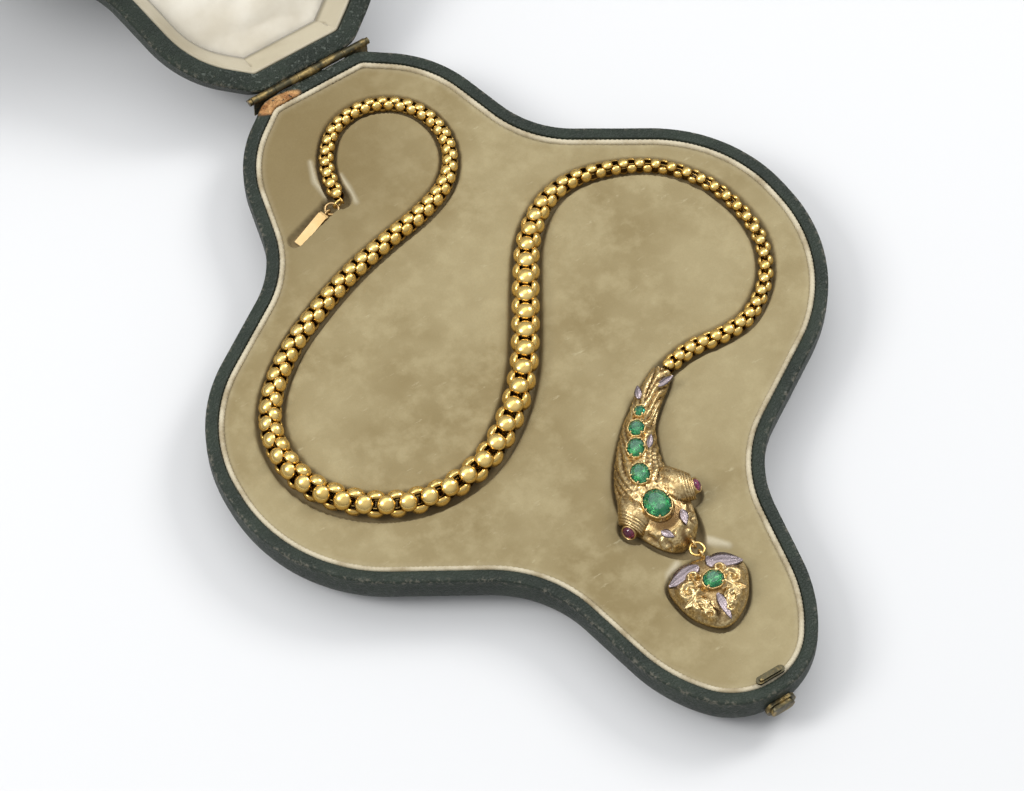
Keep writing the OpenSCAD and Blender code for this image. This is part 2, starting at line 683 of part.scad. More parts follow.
// Pointed leaf lying along +X, thick at its foot
module leaf(length, width, lift) {
    hull() {
        translate([0, 0, 0]) cylinder(0.5, r = width / 3, $fn = 8);
        translate([length * 0.45, 0, lift]) scale([1.6, 1, 1]) cylinder(0.5, r = width / 2, $fn = 10);
        translate([length, 0, -lift]) cylinder(0.4, r = 0.15, $fn = 6);
    }
}

module heart_pendant() {
    color(bloomed_gold) difference() {
        union() {
            on_heart() {
                heart_body();
                translate([heart_stone.x, heart_stone.y, heart_stone_z]) {
                    collet_body(heart_stone_half, 1.6);
                    claws(heart_stone_half, 4);
                }
                for (side = [-1, 1]) translate([side * 1.8, 6.4, heart_t / 2 - 1.1]) rotate([0, 0, 90 - side * 106])
                    leaf(7, 3, 0.35);
                translate([-0.4, -1.4, heart_t / 2 - 0.2]) rotate([0, 0, -86]) leaf(6.4, 1.8, 0.3);
                translate([1.6, 7.6, heart_t / 2 - 1.3]) rotate([0, 0, -80]) leaf(3, 1.8, 0.2);
            }
            upright_hoop([jump_ring_mid.x, jump_ring_mid.y - jump_ring_r], ring_z, 90, loop_r, ring_wire, 20);
        }
        on_heart() translate([heart_stone.x, heart_stone.y, heart_stone_z]) collet_well(heart_stone_half);
    }
}

module heart_emerald() {
    color("seagreen") on_heart() translate([heart_stone.x, heart_stone.y, heart_stone_z]) cut_stone(heart_stone_half);
}

case_base();
base_piping();
velvet_pad();
base_hinge();
hinge_pin();
latch_catch();
push_button();
chain();
snake_head();
emerald_1();
emerald_2();
emerald_3();
emerald_4();
emerald_5();
ruby_left();
ruby_right();
jump_ring();
heart_pendant();
heart_emerald();
tail_link();
tail_ring();
clasp_tongue();
lid_shell();
lid_lining();
lid_satin();
lid_hinge();
lid_keeper();
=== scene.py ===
"""Looks for the snake necklace in its fitted case: leather, velvet, satin, gold and stones around the CAD frame."""

import math

import bpy
import numpy as np
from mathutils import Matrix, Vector, noise

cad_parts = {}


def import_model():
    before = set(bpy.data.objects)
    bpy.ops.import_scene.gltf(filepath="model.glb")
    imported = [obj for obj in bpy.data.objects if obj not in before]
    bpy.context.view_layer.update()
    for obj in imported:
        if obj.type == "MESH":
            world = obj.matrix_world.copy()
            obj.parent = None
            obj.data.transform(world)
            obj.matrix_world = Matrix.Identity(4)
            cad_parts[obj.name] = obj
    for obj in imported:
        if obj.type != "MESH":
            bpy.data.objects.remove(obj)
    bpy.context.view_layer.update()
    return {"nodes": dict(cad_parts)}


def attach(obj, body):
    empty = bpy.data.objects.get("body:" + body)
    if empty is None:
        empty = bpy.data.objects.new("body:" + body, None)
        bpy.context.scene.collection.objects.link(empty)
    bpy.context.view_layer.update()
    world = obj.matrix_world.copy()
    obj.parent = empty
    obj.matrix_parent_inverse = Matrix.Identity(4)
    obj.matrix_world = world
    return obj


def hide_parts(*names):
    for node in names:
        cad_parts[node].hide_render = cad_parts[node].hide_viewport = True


MM = 0.001

# Case, the same named sizes as the CAD source
BASE_H = 13.0
LID_H = 13.0
RIM_GAP = 0.2
LID_TOP = BASE_H + RIM_GAP + LID_H
OPEN_ANGLE = math.radians(-152)
HINGE = np.array([0.0, 96.0, BASE_H + RIM_GAP / 2])
PAD_TOP = 11.9
RECESS_DEPTH = 1.3
PIPING_IN = 3.5
RIM_W = 2.8
LID_RIM_W = 4.2
LID_WALL = LID_RIM_W + 0.1
PAD_FOOT = 2.6
# Notch in the lid's rim over the latch's catch
CATCH_X = 0.3
CATCH_ROOM = 5.0
NOTCH_Z = 11.3
NOTCH_INSET = 2.6
CORNERS = [
    (12.5, 95, 6), (26.5, 84.5, 29), (34, 56, 24), (72, 31.5, 36.5),
    (74.5, -12.5, 39), (27, -42, 27), (20.5, -76.5, 39), (9.5, -91.5, 18),
]

# Centre line of the chain: x, y, width, pitch of the domes in one row, turn of the rows
ROUTE = [
    (-11.9, 63.5, 3.7, 2.9, 18), (-11.6, 67.7, 3.7, 2.9, 18), (-9.1, 74.1, 3.6, 2.9, 20),
    (-3.7, 79.8, 3.55, 2.8, 28), (3.6, 81.7, 3.55, 2.8, 33), (10.6, 79.3, 3.6, 2.8, 31),
    (15.2, 74.0, 3.7, 2.9, 31), (16.6, 66.7, 3.7, 2.9, 37), (14.4, 59.5, 3.8, 3, 47),
    (9.1, 53.9, 4.2, 3.1, 58), (1.1, 50.6, 4.5, 3.4, 65), (-9.4, 48.4, 4.6, 3.6, 68),
    (-20.4, 45.6, 4.8, 3.8, 66), (-31.4, 41.4, 4.9, 3.9, 60), (-41.5, 36.4, 5, 4, 56),
    (-50.8, 29.1, 5.3, 4.1, 50), (-56.4, 20.8, 5.6, 4.1, 44), (-58.0, 11.1, 6, 4.3, 42),
    (-55.4, 1.6, 6.2, 4.6, 46), (-48.1, -6.7, 6.2, 4.6, 54), (-39.1, -11.3, 6.1, 4.7, 64),
    (-29.6, -12.3, 6.1, 4.9, 72), (-19.6, -9.9, 6.2, 5, 82), (-9.9, -3.6, 6.4, 4.9, 90),
    (-2.1, 4.2, 6.45, 4.8, 90), (4.3, 13.2, 6.4, 4.6, 90), (10.5, 22.6, 6.2, 4.4, 92),
    (17.2, 31.6, 5.6, 4, 98), (25.6, 37.9, 4.8, 3.7, 107), (34.6, 39.6, 4.1, 3.6, 114),
    (44.7, 36.9, 3.7, 3.6, 106), (53.2, 31.3, 3.5, 3.6, 92), (59.0, 22.3, 3.45, 3.6, 78),
    (61.1, 12.2, 3.45, 3.5, 72), (60.1, 3.2, 3.5, 3.4, 72), (55.3, -5.2, 3.6, 3.3, 78),
    (47.6, -10.8, 3.9, 3.2, 88), (40.5, -12.0, 4.1, 3.2, 90), (31.6, -11.2, 4.1, 3.2, 90),
    (25.0, -12.2, 3.9, 3.2, 90),
]
# Centre line of the head: x, y, half width, height over and depth under the line
HEAD_ROWS = [
    (23.0, -12.9, 2.1, 2.0, 1.8), (20.0, -14.9, 2.6, 2.4, 2.1), (15.6, -17.9, 2.9, 2.7, 2.3),
    (11.4, -21.4, 3.3, 3.0, 2.5), (8.2, -25.4, 4.1, 3.4, 2.6), (5.4, -29.8, 5.1, 3.9, 2.7),
    (3.5, -34.2, 6.1, 4.3, 2.8), (2.6, -38.6, 6.9, 4.4, 2.8), (2.6, -43.0, 6.9, 3.9, 2.7),
    (3.0, -46.8, 5.9, 3.1, 2.5), (3.6, -49.8, 4.3, 2.3, 2.1), (4.0, -51.5, 2.0, 1.3, 1.4),
]
HEAD_ROLL = math.radians(8)
LIE_Z = PAD_TOP - RECESS_DEPTH + 0.05

# Crest stones: place on the head's rows, half length, half width, claws
CREST_STONES = [(2.75, 1.2, 1.1, 4), (3.62, 1.8, 1.6, 4), (4.62, 2.2, 1.8, 6), (6.0, 2.4, 2.0, 6), (7.75, 3.4, 2.8, 6)]
CREST_LIFT = 0.75

# Brow over each eye: outward, forward, up, half length, half height
BROW_ROWS = [
    (3.2, -3.8, 1.6, 4.2, 2.2), (4.8, -2.9, 2.0, 4.2, 2.7), (6.0, -1.9, 2.0, 3.8, 2.8),
    (7.0, -1.1, 1.8, 3.4, 2.7), (7.8, -0.4, 1.5, 3.1, 2.5), (8.4, 0.0, 1.3, 2.8, 2.3),
]
BROW_ROW_AT = 7.8
BROW_SHIFT = 0.7
BROW_SLANT = 0.4
EYE_WAY = (0.36, 0.78, 0.5)
EYE_R = 1.35

# Scrolls chased on the snout: forward, side, first and last radius, first and last angle, width
SNOUT_SCROLLS = [
    (8.9, 0.6, 2.8, 1.0, -200, 130, 0.55), (6.8, -4.0, 1.9, 0.5, 20, 330, 0.5), (6.6, 4.4, 1.9, 0.5, -30, -330, 0.5),
    (10.2, -2.9, 1.6, 0.5, -160, 120, 0.42), (0.6, 0.0, 5.4, 5.4, -62, 62, 0.4), (3.4, -5.8, 1.8, 0.6, 60, 330, 0.45),
]
# Silver leaves on the head: forward, side, length, width, heading
HEAD_LEAVES = [
    (5.0, -3.0, 3.2, 1.9, 20), (4.0, 3.6, 3.8, 2.0, -25), (-27.5, 1.2, 4.2, 1.8, 150), (-24.0, -1.4, 3.6, 1.7, 205),
    (-13.8, 2.6, 3.4, 1.6, 168),
]

HEART_MID = (1.25, -64.4)
HEART_W = 17.2
HEART_T = 4.6
HEART_TURN = math.radians(-14)
HEART_ROLL = math.radians(-5)
HEART_STONE = (0.9, 1.6)
HEART_STONE_HALF = (2.2, 2.0)
# Scrolls on one side of the heart: centre x, y, first and last radius, first and last angle, width
HEART_SCROLLS = [
    (-5.0, 0.7, 2.1, 0.7, 60, 400, 0.9), (-4.3, -3.2, 1.9, 0.6, -60, 250, 0.85),
    (-1.6, -3.0, 3.6, 3.0, 115, 178, 0.8), (-2.4, -6.0, 1.2, 0.5, 150, -120, 0.6), (-2.9, 3.9, 1.1, 0.5, 200, -60, 0.5),
]
# Gold leaves on one side of the heart, mirrored on the other: x, y, length, width, heading
HEART_SIDE_LEAVES = [(-1.8, -5.6, 4.8, 2.2, 118), (-2.9, -1.2, 4.4, 2.3, 196), (-1.6, -3.2, 4.6, 2.0, 152)]
# Silver leaves on the heart, in the same columns
HEART_LEAVES = [
    (0.8, 6.3, 8.0, 4.2, -15), (-0.8, 6.1, 8.0, 4.2, 196), (0.6, -1.6, 6.8, 2.1, -84), (1.6, 7.8, 3.4, 1.9, -84),
]

JUMP_RING_MID = (4.3, -53.9)
JUMP_RING_R = 1.55
LOOP_R = 1.0
RING_WIRE = 0.28
RING_Z = LIE_Z + 3.1

# Camera fitted to the rim in the photograph: turn and height angles, metres from the point it aims at
CAMERA_TURN = math.radians(33.05)
CAMERA_HEIGHT = math.radians(59.3)
CAMERA_DISTANCE = 1.19565
CAMERA_AIM = (-7.83, 0, BASE_H)
CAMERA_LENS = 193.36


# Small maths

def smooth(a, b, x):
    """0 before a, 1 after b, with a soft step between; works on numbers and arrays."""
    t = np.clip((x - a) / (b - a), 0, 1)
    return t * t * (3 - 2 * t)


def unit(v):
    return v / np.linalg.norm(v)


def spline(table, per_row):
    """Catmull-Rom through the rows of a table, with per_row steps between rows."""
    t = np.array(table, float)
    rows = np.vstack([2 * t[0] - t[1], t, 2 * t[-1] - t[-2]])
    out = []
    for i in range(len(t) - 1):
        a, b, c, d = rows[i : i + 4]
        for k in range(per_row):
            u = k / per_row
            out.append((2 * b + (c - a) * u + (2 * a - 5 * b + 4 * c - d) * u**2 + (3 * b - a - 3 * c + d) * u**3) / 2)
    return np.array(out + [t[-1]])


def between(table, u):
    """One row of the smoothed table at a fractional row number."""
    t = np.array(table, float)
    rows = np.vstack([2 * t[0] - t[1], t, 2 * t[-1] - t[-2]])
    i = int(min(max(math.floor(u), 0), len(t) - 2))
    a, b, c, d = rows[i : i + 4]
    u -= i
    return (2 * b + (c - a) * u + (2 * a - 5 * b + 4 * c - d) * u**2 + (3 * b - a - 3 * c + d) * u**3) / 2


def spiral(scroll, steps=26):
    """Points of a scroll from its centre, radii and angles."""
    f = np.linspace(0, 1, steps)
    angle = np.radians(scroll[4] + (scroll[5] - scroll[4]) * f)
    r = scroll[2] + (scroll[3] - scroll[2]) * f
    return np.column_stack([scroll[0] + r * np.cos(angle), scroll[1] + r * np.sin(angle)])


def scroll_relief(x, y, scrolls):
    """Raised rounded scrolls: 1 on their centre lines, 0 away from them."""
    best = np.zeros(np.shape(x))
    for scroll in scrolls:
        path = [(*p, 0.0) for p in spiral(scroll)]
        best = np.maximum(best, np.exp(-((distance_to_path(x, y, path) / scroll[6]) ** 2)))
    return best


def ripple(points, scale, seed=0.0):
    """Smooth noise from -1 to 1 at each point, with bumps about scale wide."""
    return np.array([noise.noise(Vector((p[0] / scale + seed, p[1] / scale - seed, p[2] / scale))) for p in points])


# Meshes

def mesh_piece(name, points, faces, body, material, smooth_shade=True):
    """A new object from points in millimetres that rides on a body."""
    mesh = bpy.data.meshes.new(name)
    mesh.from_pydata([tuple(p) for p in np.asarray(points) * MM], [], faces)
    mesh.validate()
    mesh.update()
    mesh.shade_smooth() if smooth_shade else mesh.shade_flat()
    piece = bpy.data.objects.new(name, mesh)
    bpy.context.scene.collection.objects.link(piece)
    piece.data.materials.append(material)
    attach(piece, body)
    return piece


def grid_faces(rows, columns, wrap_columns=False, wrap_rows=False):
    """Quads between rows of points, each row holding the same number of columns."""
    faces = []
    for i in range(rows if wrap_rows else rows - 1):
        for k in range(columns if wrap_columns else columns - 1):
            a, b = i * columns, (i + 1) % rows * columns
            m = (k + 1) % columns
            faces.append((a + k, a + m, b + m, b + k))
    return faces


def outline(step):
    """The rim's outer edge as points and outward normals, clockwise from the hinge."""
    corners = [(0, CORNERS[0][1], 0), *CORNERS, (0, CORNERS[-1][1], 0)]
    half = []
    for before, corner, after in zip(corners, corners[1:], corners[2:]):
        p, r = np.array(corner[:2], float), corner[2]
        u, v = unit(p - before[:2]), unit(np.array(after[:2]) - p)
        heading = math.atan2(u[1], u[0])
        turn = math.atan2(u[0] * v[1] - u[1] * v[0], u @ v)
        side = -1 if turn > 0 else 1
        start = p - u * r * math.tan(abs(turn) / 2)
        centre = start + side * r * np.array([math.sin(heading), -math.cos(heading)])
        count = max(2, math.ceil(abs(turn) / math.radians(step)))
        for k in range(count + 1):
            h = heading + turn * k / count
            right = np.array([math.sin(h), -math.cos(h)])
            half.append((centre - side * r * right, -right))
    flip = np.array([-1, 1])
    both = half + [(p * flip, n * flip) for p, n in reversed(half)]
    return np.array([q[0] for q in both]), np.array([q[1] for q in both])


def even_outline(spacing):
    """The outline again with points about that far apart, in millimetres."""
    points, normals = outline(3)
    gaps = np.linalg.norm(np.roll(points, -1, 0) - points, axis=1)
    along = np.concatenate([[0], np.cumsum(gaps)])
    count = int(along[-1] / spacing)
    at = np.arange(count) * along[-1] / count
    def column(values):
        return np.interp(at, along, np.append(values, values[0]))
    points = np.stack([column(points[:, 0]), column(points[:, 1])], 1)
    normals = np.stack([column(normals[:, 0]), column(normals[:, 1])], 1)
    return points, normals / np.linalg.norm(normals, axis=1)[:, None]


def rings_at(steps, spacing):
    """One ring of the outline for each (inset, height) step, all with the same number of points."""
    points, normals = even_outline(spacing)
    return np.array([np.column_stack([points - d * normals, np.full(len(points), z)]) for d, z in steps])


def swing_open(points):
    """Turns points of the shut lid about the hinge into its open place."""
    c, s = math.cos(OPEN_ANGLE), math.sin(OPEN_ANGLE)
    p = np.asarray(points, float) - HINGE
    return np.column_stack([p[:, 0], c * p[:, 1] - s * p[:, 2], s * p[:, 1] + c * p[:, 2]]) + HINGE


def as_lid(points):
    """Points drawn like the base, foot down, as the open lid."""
    return swing_open(np.asarray(points) * [1, 1, -1] + [0, 0, LID_TOP])


# Materials

class Shader:
    """A principled material whose nodes are added by short calls."""

    def __init__(self, name, colour, roughness, metallic=0.0, **sockets):
        self.material = bpy.data.materials.new(name)
        self.material.use_nodes = True
        self.nodes, self.links = self.material.node_tree.nodes, self.material.node_tree.links
        self.main = self.nodes["Principled BSDF"]
        self.main.inputs["Base Color"].default_value = (*colour, 1)
        self.main.inputs["Roughness"].default_value = roughness
        self.main.inputs["Metallic"].default_value = metallic
        for socket, value in sockets.items():
            self.main.inputs[socket.replace("_", " ")].default_value = value
        self.place = self.nodes.new("ShaderNodeTexCoord").outputs["Object"]

    def add(self, kind, inputs=(), **settings):
        node = self.nodes.new("ShaderNode" + kind)
        for key, value in settings.items():
            setattr(node, key, value)
        for key, value in dict(inputs).items():
            if isinstance(value, bpy.types.NodeSocket):
                self.links.new(value, node.inputs[key])
            else:
                node.inputs[key].default_value = value
        return node

    def noise(self, size_mm, detail=3.0, rough=0.55, place=None):
        return self.add("TexNoise", {
            "Vector": place or self.place, "Scale": 1 / (size_mm * MM), "Detail": detail, "Roughness": rough,
        }).outputs["Fac"]

    def cells(self, size_mm, feature="F1", place=None):
        inputs = {"Vector": place or self.place, "Scale": 1 / (size_mm * MM)}
        return self.add("TexVoronoi", inputs, feature=feature).outputs["Distance"]

    def ramp(self, value, low, high, a=0.0, b=1.0):
        return self.add("MapRange", {0: value, 1: low, 2: high, 3: a, 4: b}, interpolation_type="SMOOTHSTEP").outputs[0]

    def maths(self, operation, a, b=0.0):
        return self.add("Math", {0: a, 1: b}, operation=operation).outputs[0]

    def mix(self, share, a, b):
        node = self.add("Mix", {}, data_type="RGBA")
        for key, value in (("Factor", share), ("A", a), ("B", b)):
            sockets = [s for s in node.inputs if s.name == key and s.enabled]
            if isinstance(value, bpy.types.NodeSocket):
                self.links.new(value, sockets[0])
            else:
                sockets[0].default_value = (*value, 1) if isinstance(value, tuple) else value
        return next(s for s in node.outputs if s.enabled)

    def colour(self, value):
        self.links.new(value, self.main.inputs["Base Color"])

    def rough(self, value):
        self.links.new(value, self.main.inputs["Roughness"])

    def bump(self, *layers):
        """Each layer is a height from 0 to 1 and its full height in millimetres."""
        normal = None
        for height, size_mm in layers:
            inputs = {"Height": height, "Strength": 1.0, "Distance": size_mm * MM}
            if normal is not None:
                inputs["Normal"] = normal
            normal = self.add("Bump", inputs).outputs["Normal"]
        self.links.new(normal, self.main.inputs["Normal"])

    def attribute(self, name):
        return self.add("Attribute", {}, attribute_name=name).outputs["Fac"]

    def near(self, centre, reach, low, high):
        """1 near a point given in millimetres, 0 far from it; reach is the size along each axis."""
        back = tuple(-c * MM for c in centre)
        shrink = tuple(1 / (r * MM) for r in reach)
        moved = self.add("VectorMath", {0: self.place, 1: back}, operation="ADD").outputs[0]
        scaled = self.add("VectorMath", {0: moved, 1: shrink}, operation="MULTIPLY").outputs[0]
        far = self.add("VectorMath", {0: scaled}, operation="LENGTH").outputs["Value"]
        return self.ramp(far, high, low)


def leather_material():
    s = Shader("green_leather", (0.014, 0.022, 0.015), 0.5, Specular_IOR_Level=0.35)
    fine, broad = s.noise(0.9, 5), s.noise(9, 3)
    grain = s.cells(0.75, "DISTANCE_TO_EDGE")
    tone = s.mix(s.ramp(broad, 0.35, 0.7), (0.008, 0.014, 0.008), (0.016, 0.025, 0.015))
    scuff = s.maths("MULTIPLY", s.ramp(s.noise(1.6, 6, 0.75), 0.57, 0.7), s.ramp(s.noise(14, 2), 0.38, 0.6))
    flecks = s.maths("MULTIPLY", s.ramp(s.noise(0.8, 6, 0.7), 0.52, 0.6), s.near((-4, 100, 16), (34, 9, 14), 0.6, 1.2))
    scuff = s.maths("MAXIMUM", scuff, flecks)
    tone = s.mix(s.maths("MULTIPLY", scuff, 0.55), tone, (0.13, 0.15, 0.125))
    worn = s.attribute("wear")
    chipped = s.maths("MULTIPLY", worn, s.ramp(s.noise(1.1, 6, 0.7), 0.5, 0.62))
    tone = s.mix(s.maths("MULTIPLY", chipped, 0.8), tone, (0.13, 0.12, 0.09))
    bare = s.maths("MULTIPLY", s.near((-10, 92.6, BASE_H), (6.2, 2.2, 3), 0.75, 1.0), s.ramp(fine, 0.3, 0.42))
    wood = s.mix(s.ramp(s.noise(2.2, 4), 0.35, 0.65), (0.25, 0.1, 0.025), (0.5, 0.27, 0.1))
    s.colour(s.mix(bare, tone, wood))
    s.rough(s.ramp(fine, 0.2, 0.8, 0.42, 0.62))
    s.bump((s.ramp(grain, 0.0, 0.16), 0.07), (fine, 0.1), (s.maths("ADD", scuff, bare), -0.12))
    return s.material


def velvet_material():
    s = Shader("beige_velvet", (0.36, 0.3, 0.165), 0.9, Sheen_Weight=0.12, Sheen_Roughness=0.5, Specular_IOR_Level=0.15)
    s.main.inputs["Sheen Tint"].default_value = (0.9, 0.85, 0.7, 1)
    broad, mid, fine = s.noise(26, 3), s.noise(5, 4, 0.6), s.noise(0.5, 4)
    tone = s.mix(s.ramp(broad, 0.3, 0.72), (0.215, 0.165, 0.078), (0.305, 0.25, 0.136))
    tone = s.mix(s.ramp(mid, 0.4, 0.75, 0.0, 0.5), tone, (0.375, 0.315, 0.18))
    stretched = s.add("VectorMath", {0: s.place, 1: (0.35, 1.0, 1.0)}, operation="MULTIPLY").outputs[0]
    streak = s.ramp(s.noise(1.5, 5, 0.65, stretched), 0.62, 0.76)
    tone = s.mix(s.maths("MULTIPLY", streak, 0.5), tone, (0.46, 0.4, 0.25))
    tone = s.mix(s.maths("MULTIPLY", s.near((-24, 86, 12), (46, 44, 60), 0.3, 1.25), 0.85), tone, (0.17, 0.125, 0.055))
    tone = s.mix(s.maths("MULTIPLY", s.attribute("pale"), 0.7), tone, (0.5, 0.45, 0.33))
    # Painted shade: the velvet darkens under and right beside the necklace, a painted contact shadow.
    tone = s.mix(s.maths("MULTIPLY", s.attribute("painted_shade"), 0.5), tone, (0.13, 0.085, 0.04))
    s.colour(s.mix(s.ramp(fine, 0.35, 0.65, 0.0, 0.12), tone, (0.24, 0.19, 0.09)))
    s.bump((mid, 0.16), (fine, 0.05), (streak, 0.04))
    return s.material


def satin_material(name, colour, dark):
    s = Shader(name, colour, 0.45, Sheen_Weight=0.3, Sheen_Roughness=0.35)
    threads = {"Vector": s.place, "Scale": 1500.0, "Distortion": 1.2, "Detail": 2.0}
    weave = s.add("TexWave", threads, bands_direction="X").outputs["Fac"]
    blotch = s.noise(18, 4)
    tone = s.mix(s.ramp(blotch, 0.35, 0.75), colour, dark)
    # Painted shade: darker where the mask says, in the crease between the satin and the lid's wall cloth.
    s.colour(s.mix(s.maths("MULTIPLY", s.attribute("painted_shade"), 0.7), tone, tuple(c * 0.45 for c in dark)))
    s.bump((weave, 0.012), (s.noise(2.5, 3), 0.05))
    return s.material


def cord_material():
    s = Shader("cream_cord", (0.45, 0.39, 0.26), 0.85, Sheen_Weight=0.1)
    grime = s.ramp(s.noise(7, 4), 0.4, 0.7)
    s.colour(s.mix(grime, (0.5, 0.44, 0.31), (0.3, 0.24, 0.14)))
    s.bump((s.noise(0.35, 3), 0.05))
    return s.material


def brass_material():
    s = Shader("tarnished_brass", (0.42, 0.3, 0.12), 0.38, 1.0)
    grime = s.ramp(s.noise(3.2, 5, 0.65), 0.36, 0.56)
    tone = s.mix(s.ramp(s.noise(1.1, 4), 0.35, 0.7), (0.42, 0.31, 0.13), (0.26, 0.18, 0.07))
    s.colour(s.mix(grime, tone, (0.085, 0.075, 0.045)))
    s.rough(s.ramp(s.noise(2, 4), 0.35, 0.7, 0.28, 0.6))
    s.bump((s.noise(0.8, 5), 0.05))
    return s.material


def gold_material(name, colour, roughness):
    """Polished gold, darker and browner where it lies deep: partly patina in its hollows, partly painted shade."""
    s = Shader(name, colour, roughness, 1.0)
    tone = s.mix(s.ramp(s.noise(5, 3), 0.3, 0.75), colour, tuple(c * f for c, f in zip(colour, (0.9, 0.84, 0.7))))
    # Darker and browner by the deep attribute: patina in the hollows and painted shade there.
    s.colour(s.mix(s.attribute("deep"), tone, tuple(c * f for c, f in zip(colour, (0.42, 0.33, 0.2)))))
    s.rough(s.ramp(s.noise(2.2, 4), 0.3, 0.75, roughness, roughness + 0.1))
    s.bump((s.noise(1.1, 3), 0.01))
    return s.material


def bloomed_material():
    """Matt cast gold: dark in its ground, partly patina and partly painted shade, bright on worn tops, with silver
    leaves and rose settings by tint.
    """
    s = Shader("bloomed_gold", (0.5, 0.33, 0.13), 0.36, 1.0)
    fine, tint = s.noise(0.55, 4, 0.6), s.attribute("tint")
    tone = s.mix(s.ramp(fine, 0.36, 0.66), (0.36, 0.25, 0.11), (0.74, 0.57, 0.29))
    tone = s.mix(s.ramp(s.noise(4, 3), 0.5, 0.75, 0.0, 0.6), tone, (0.5, 0.3, 0.1))
    # Dark by the deep attribute: patina in the ground and painted shade there.
    tone = s.mix(s.attribute("deep"), tone, (0.15, 0.08, 0.03))
    tone = s.mix(s.ramp(tint, 0.2, 0.8), tone, (0.27, 0.225, 0.235))
    s.colour(s.mix(s.ramp(tint, -0.2, -0.9), tone, (0.66, 0.46, 0.2)))
    s.rough(s.ramp(fine, 0.35, 0.65, 0.42, 0.24))
    s.bump((fine, 0.07), (s.noise(0.22, 3), 0.03))
    return s.material


def stone_material(name, colour, inner):
    """Clear coloured stone with clouds inside."""
    s = Shader(
        name, colour, 0.06, 0.0, IOR=1.5, Transmission_Weight=0.85, Specular_IOR_Level=0.3,
        Coat_Weight=0.15, Coat_Roughness=0.04,
    )
    s.colour(s.mix(s.ramp(s.noise(1.3, 3), 0.35, 0.7), colour, inner))
    return s.material


# Scene

def add_camera():
    """Level camera of a long lens: the photograph's height, turn and distance."""
    camera = bpy.data.objects.new("camera", bpy.data.cameras.new("camera"))
    bpy.context.scene.collection.objects.link(camera)
    camera.data.lens = CAMERA_LENS
    camera.data.sensor_width = 36
    camera.data.clip_end = 20
    level = math.cos(CAMERA_HEIGHT)
    forward = Vector((math.sin(CAMERA_TURN) * level, math.cos(CAMERA_TURN) * level, -math.sin(CAMERA_HEIGHT)))
    camera.location = Vector(CAMERA_AIM) * MM - forward * CAMERA_DISTANCE
    camera.rotation_euler = forward.to_track_quat("-Z", "Y").to_euler()
    bpy.context.scene.camera = camera


def add_light(name, place, size, power, target=(0, 0, 0.01)):
    lamp = bpy.data.lights.new(name, "AREA")
    lamp.shape, lamp.size, lamp.size_y, lamp.energy = "RECTANGLE", size[0], size[1], power
    light = bpy.data.objects.new(name, lamp)
    bpy.context.scene.collection.objects.link(light)
    light.location = place
    light.rotation_euler = (Vector(target) - Vector(place)).to_track_quat("-Z", "Y").to_euler()


def add_studio():
    floor = bpy.data.meshes.new("floor")
    floor.from_pydata([(-3, -3, 0), (3, -3, 0), (3, 3, 0), (-3, 3, 0)], [], [(0, 1, 2, 3)])
    plane = bpy.data.objects.new("floor", floor)
    bpy.context.scene.collection.objects.link(plane)
    paper = Shader("white_paper", (0.63, 0.63, 0.63), 0.9)
    paper.bump((paper.noise(3, 2), 0.01))
    floor.materials.append(paper.material)
    add_light("softbox_left", (-0.75, 0.25, 0.85), (0.4, 0.5), 6.8)
    add_light("softbox_right", (0.75, 0.1, 0.75), (0.3, 0.4), 4.8)
    add_light("overhead", (0.0, 0.45, 1.4), (1.2, 0.8), 4.6)
    world = bpy.data.worlds.new("studio")
    world.use_nodes = True
    background = world.node_tree.nodes["Background"]
    background.inputs["Color"].default_value = (0.95, 0.97, 1.0, 1)
    nodes, links = world.node_tree.nodes, world.node_tree.links
    split = nodes.new("ShaderNodeSeparateXYZ")
    rise = nodes.new("ShaderNodeMapRange")
    for socket, value in zip((1, 2, 3, 4), (0.05, 0.9, 0.26, 0.94)):
        rise.inputs[socket].default_value = value
    links.new(nodes.new("ShaderNodeTexCoord").outputs["Generated"], split.inputs[0])
    links.new(split.outputs["Z"], rise.inputs[0])
    links.new(rise.outputs[0], background.inputs["Strength"])
    bpy.context.scene.world = world
    bpy.context.scene.view_settings.view_transform = "Standard"


# Case pieces

def arc_steps(centre, radii, first, last, count):
    """Quarter-round edge as (inset, height) steps."""
    angles = np.radians(np.linspace(first, last, count))
    return [(centre[0] + radii[0] * math.cos(a), centre[1] + radii[1] * math.sin(a)) for a in angles]


def tray_steps(height, rim, floor):
    """A tray's profile from the middle of its foot, round the outside and over the rim, to its inner floor."""
    lower = [(7 * (1 - math.sin(t)), 10 * (1 - math.cos(t))) for t in np.radians(np.linspace(0, 90, 12))]
    crown = 0.6
    over = arc_steps((crown, height - crown), (-crown, crown), 0, 90, 6)
    across = [(rim * t, height + 0.06 * math.sin(math.pi * t)) for t in np.linspace(0.3, 0.85, 6)]
    inner = arc_steps((rim - 0.35, height - 0.35), (0.35, 0.35), 90, 0, 5)
    return lower + [(0, height * 0.86)] + over + across + inner + [(rim, height - 1.4), (rim, floor)]


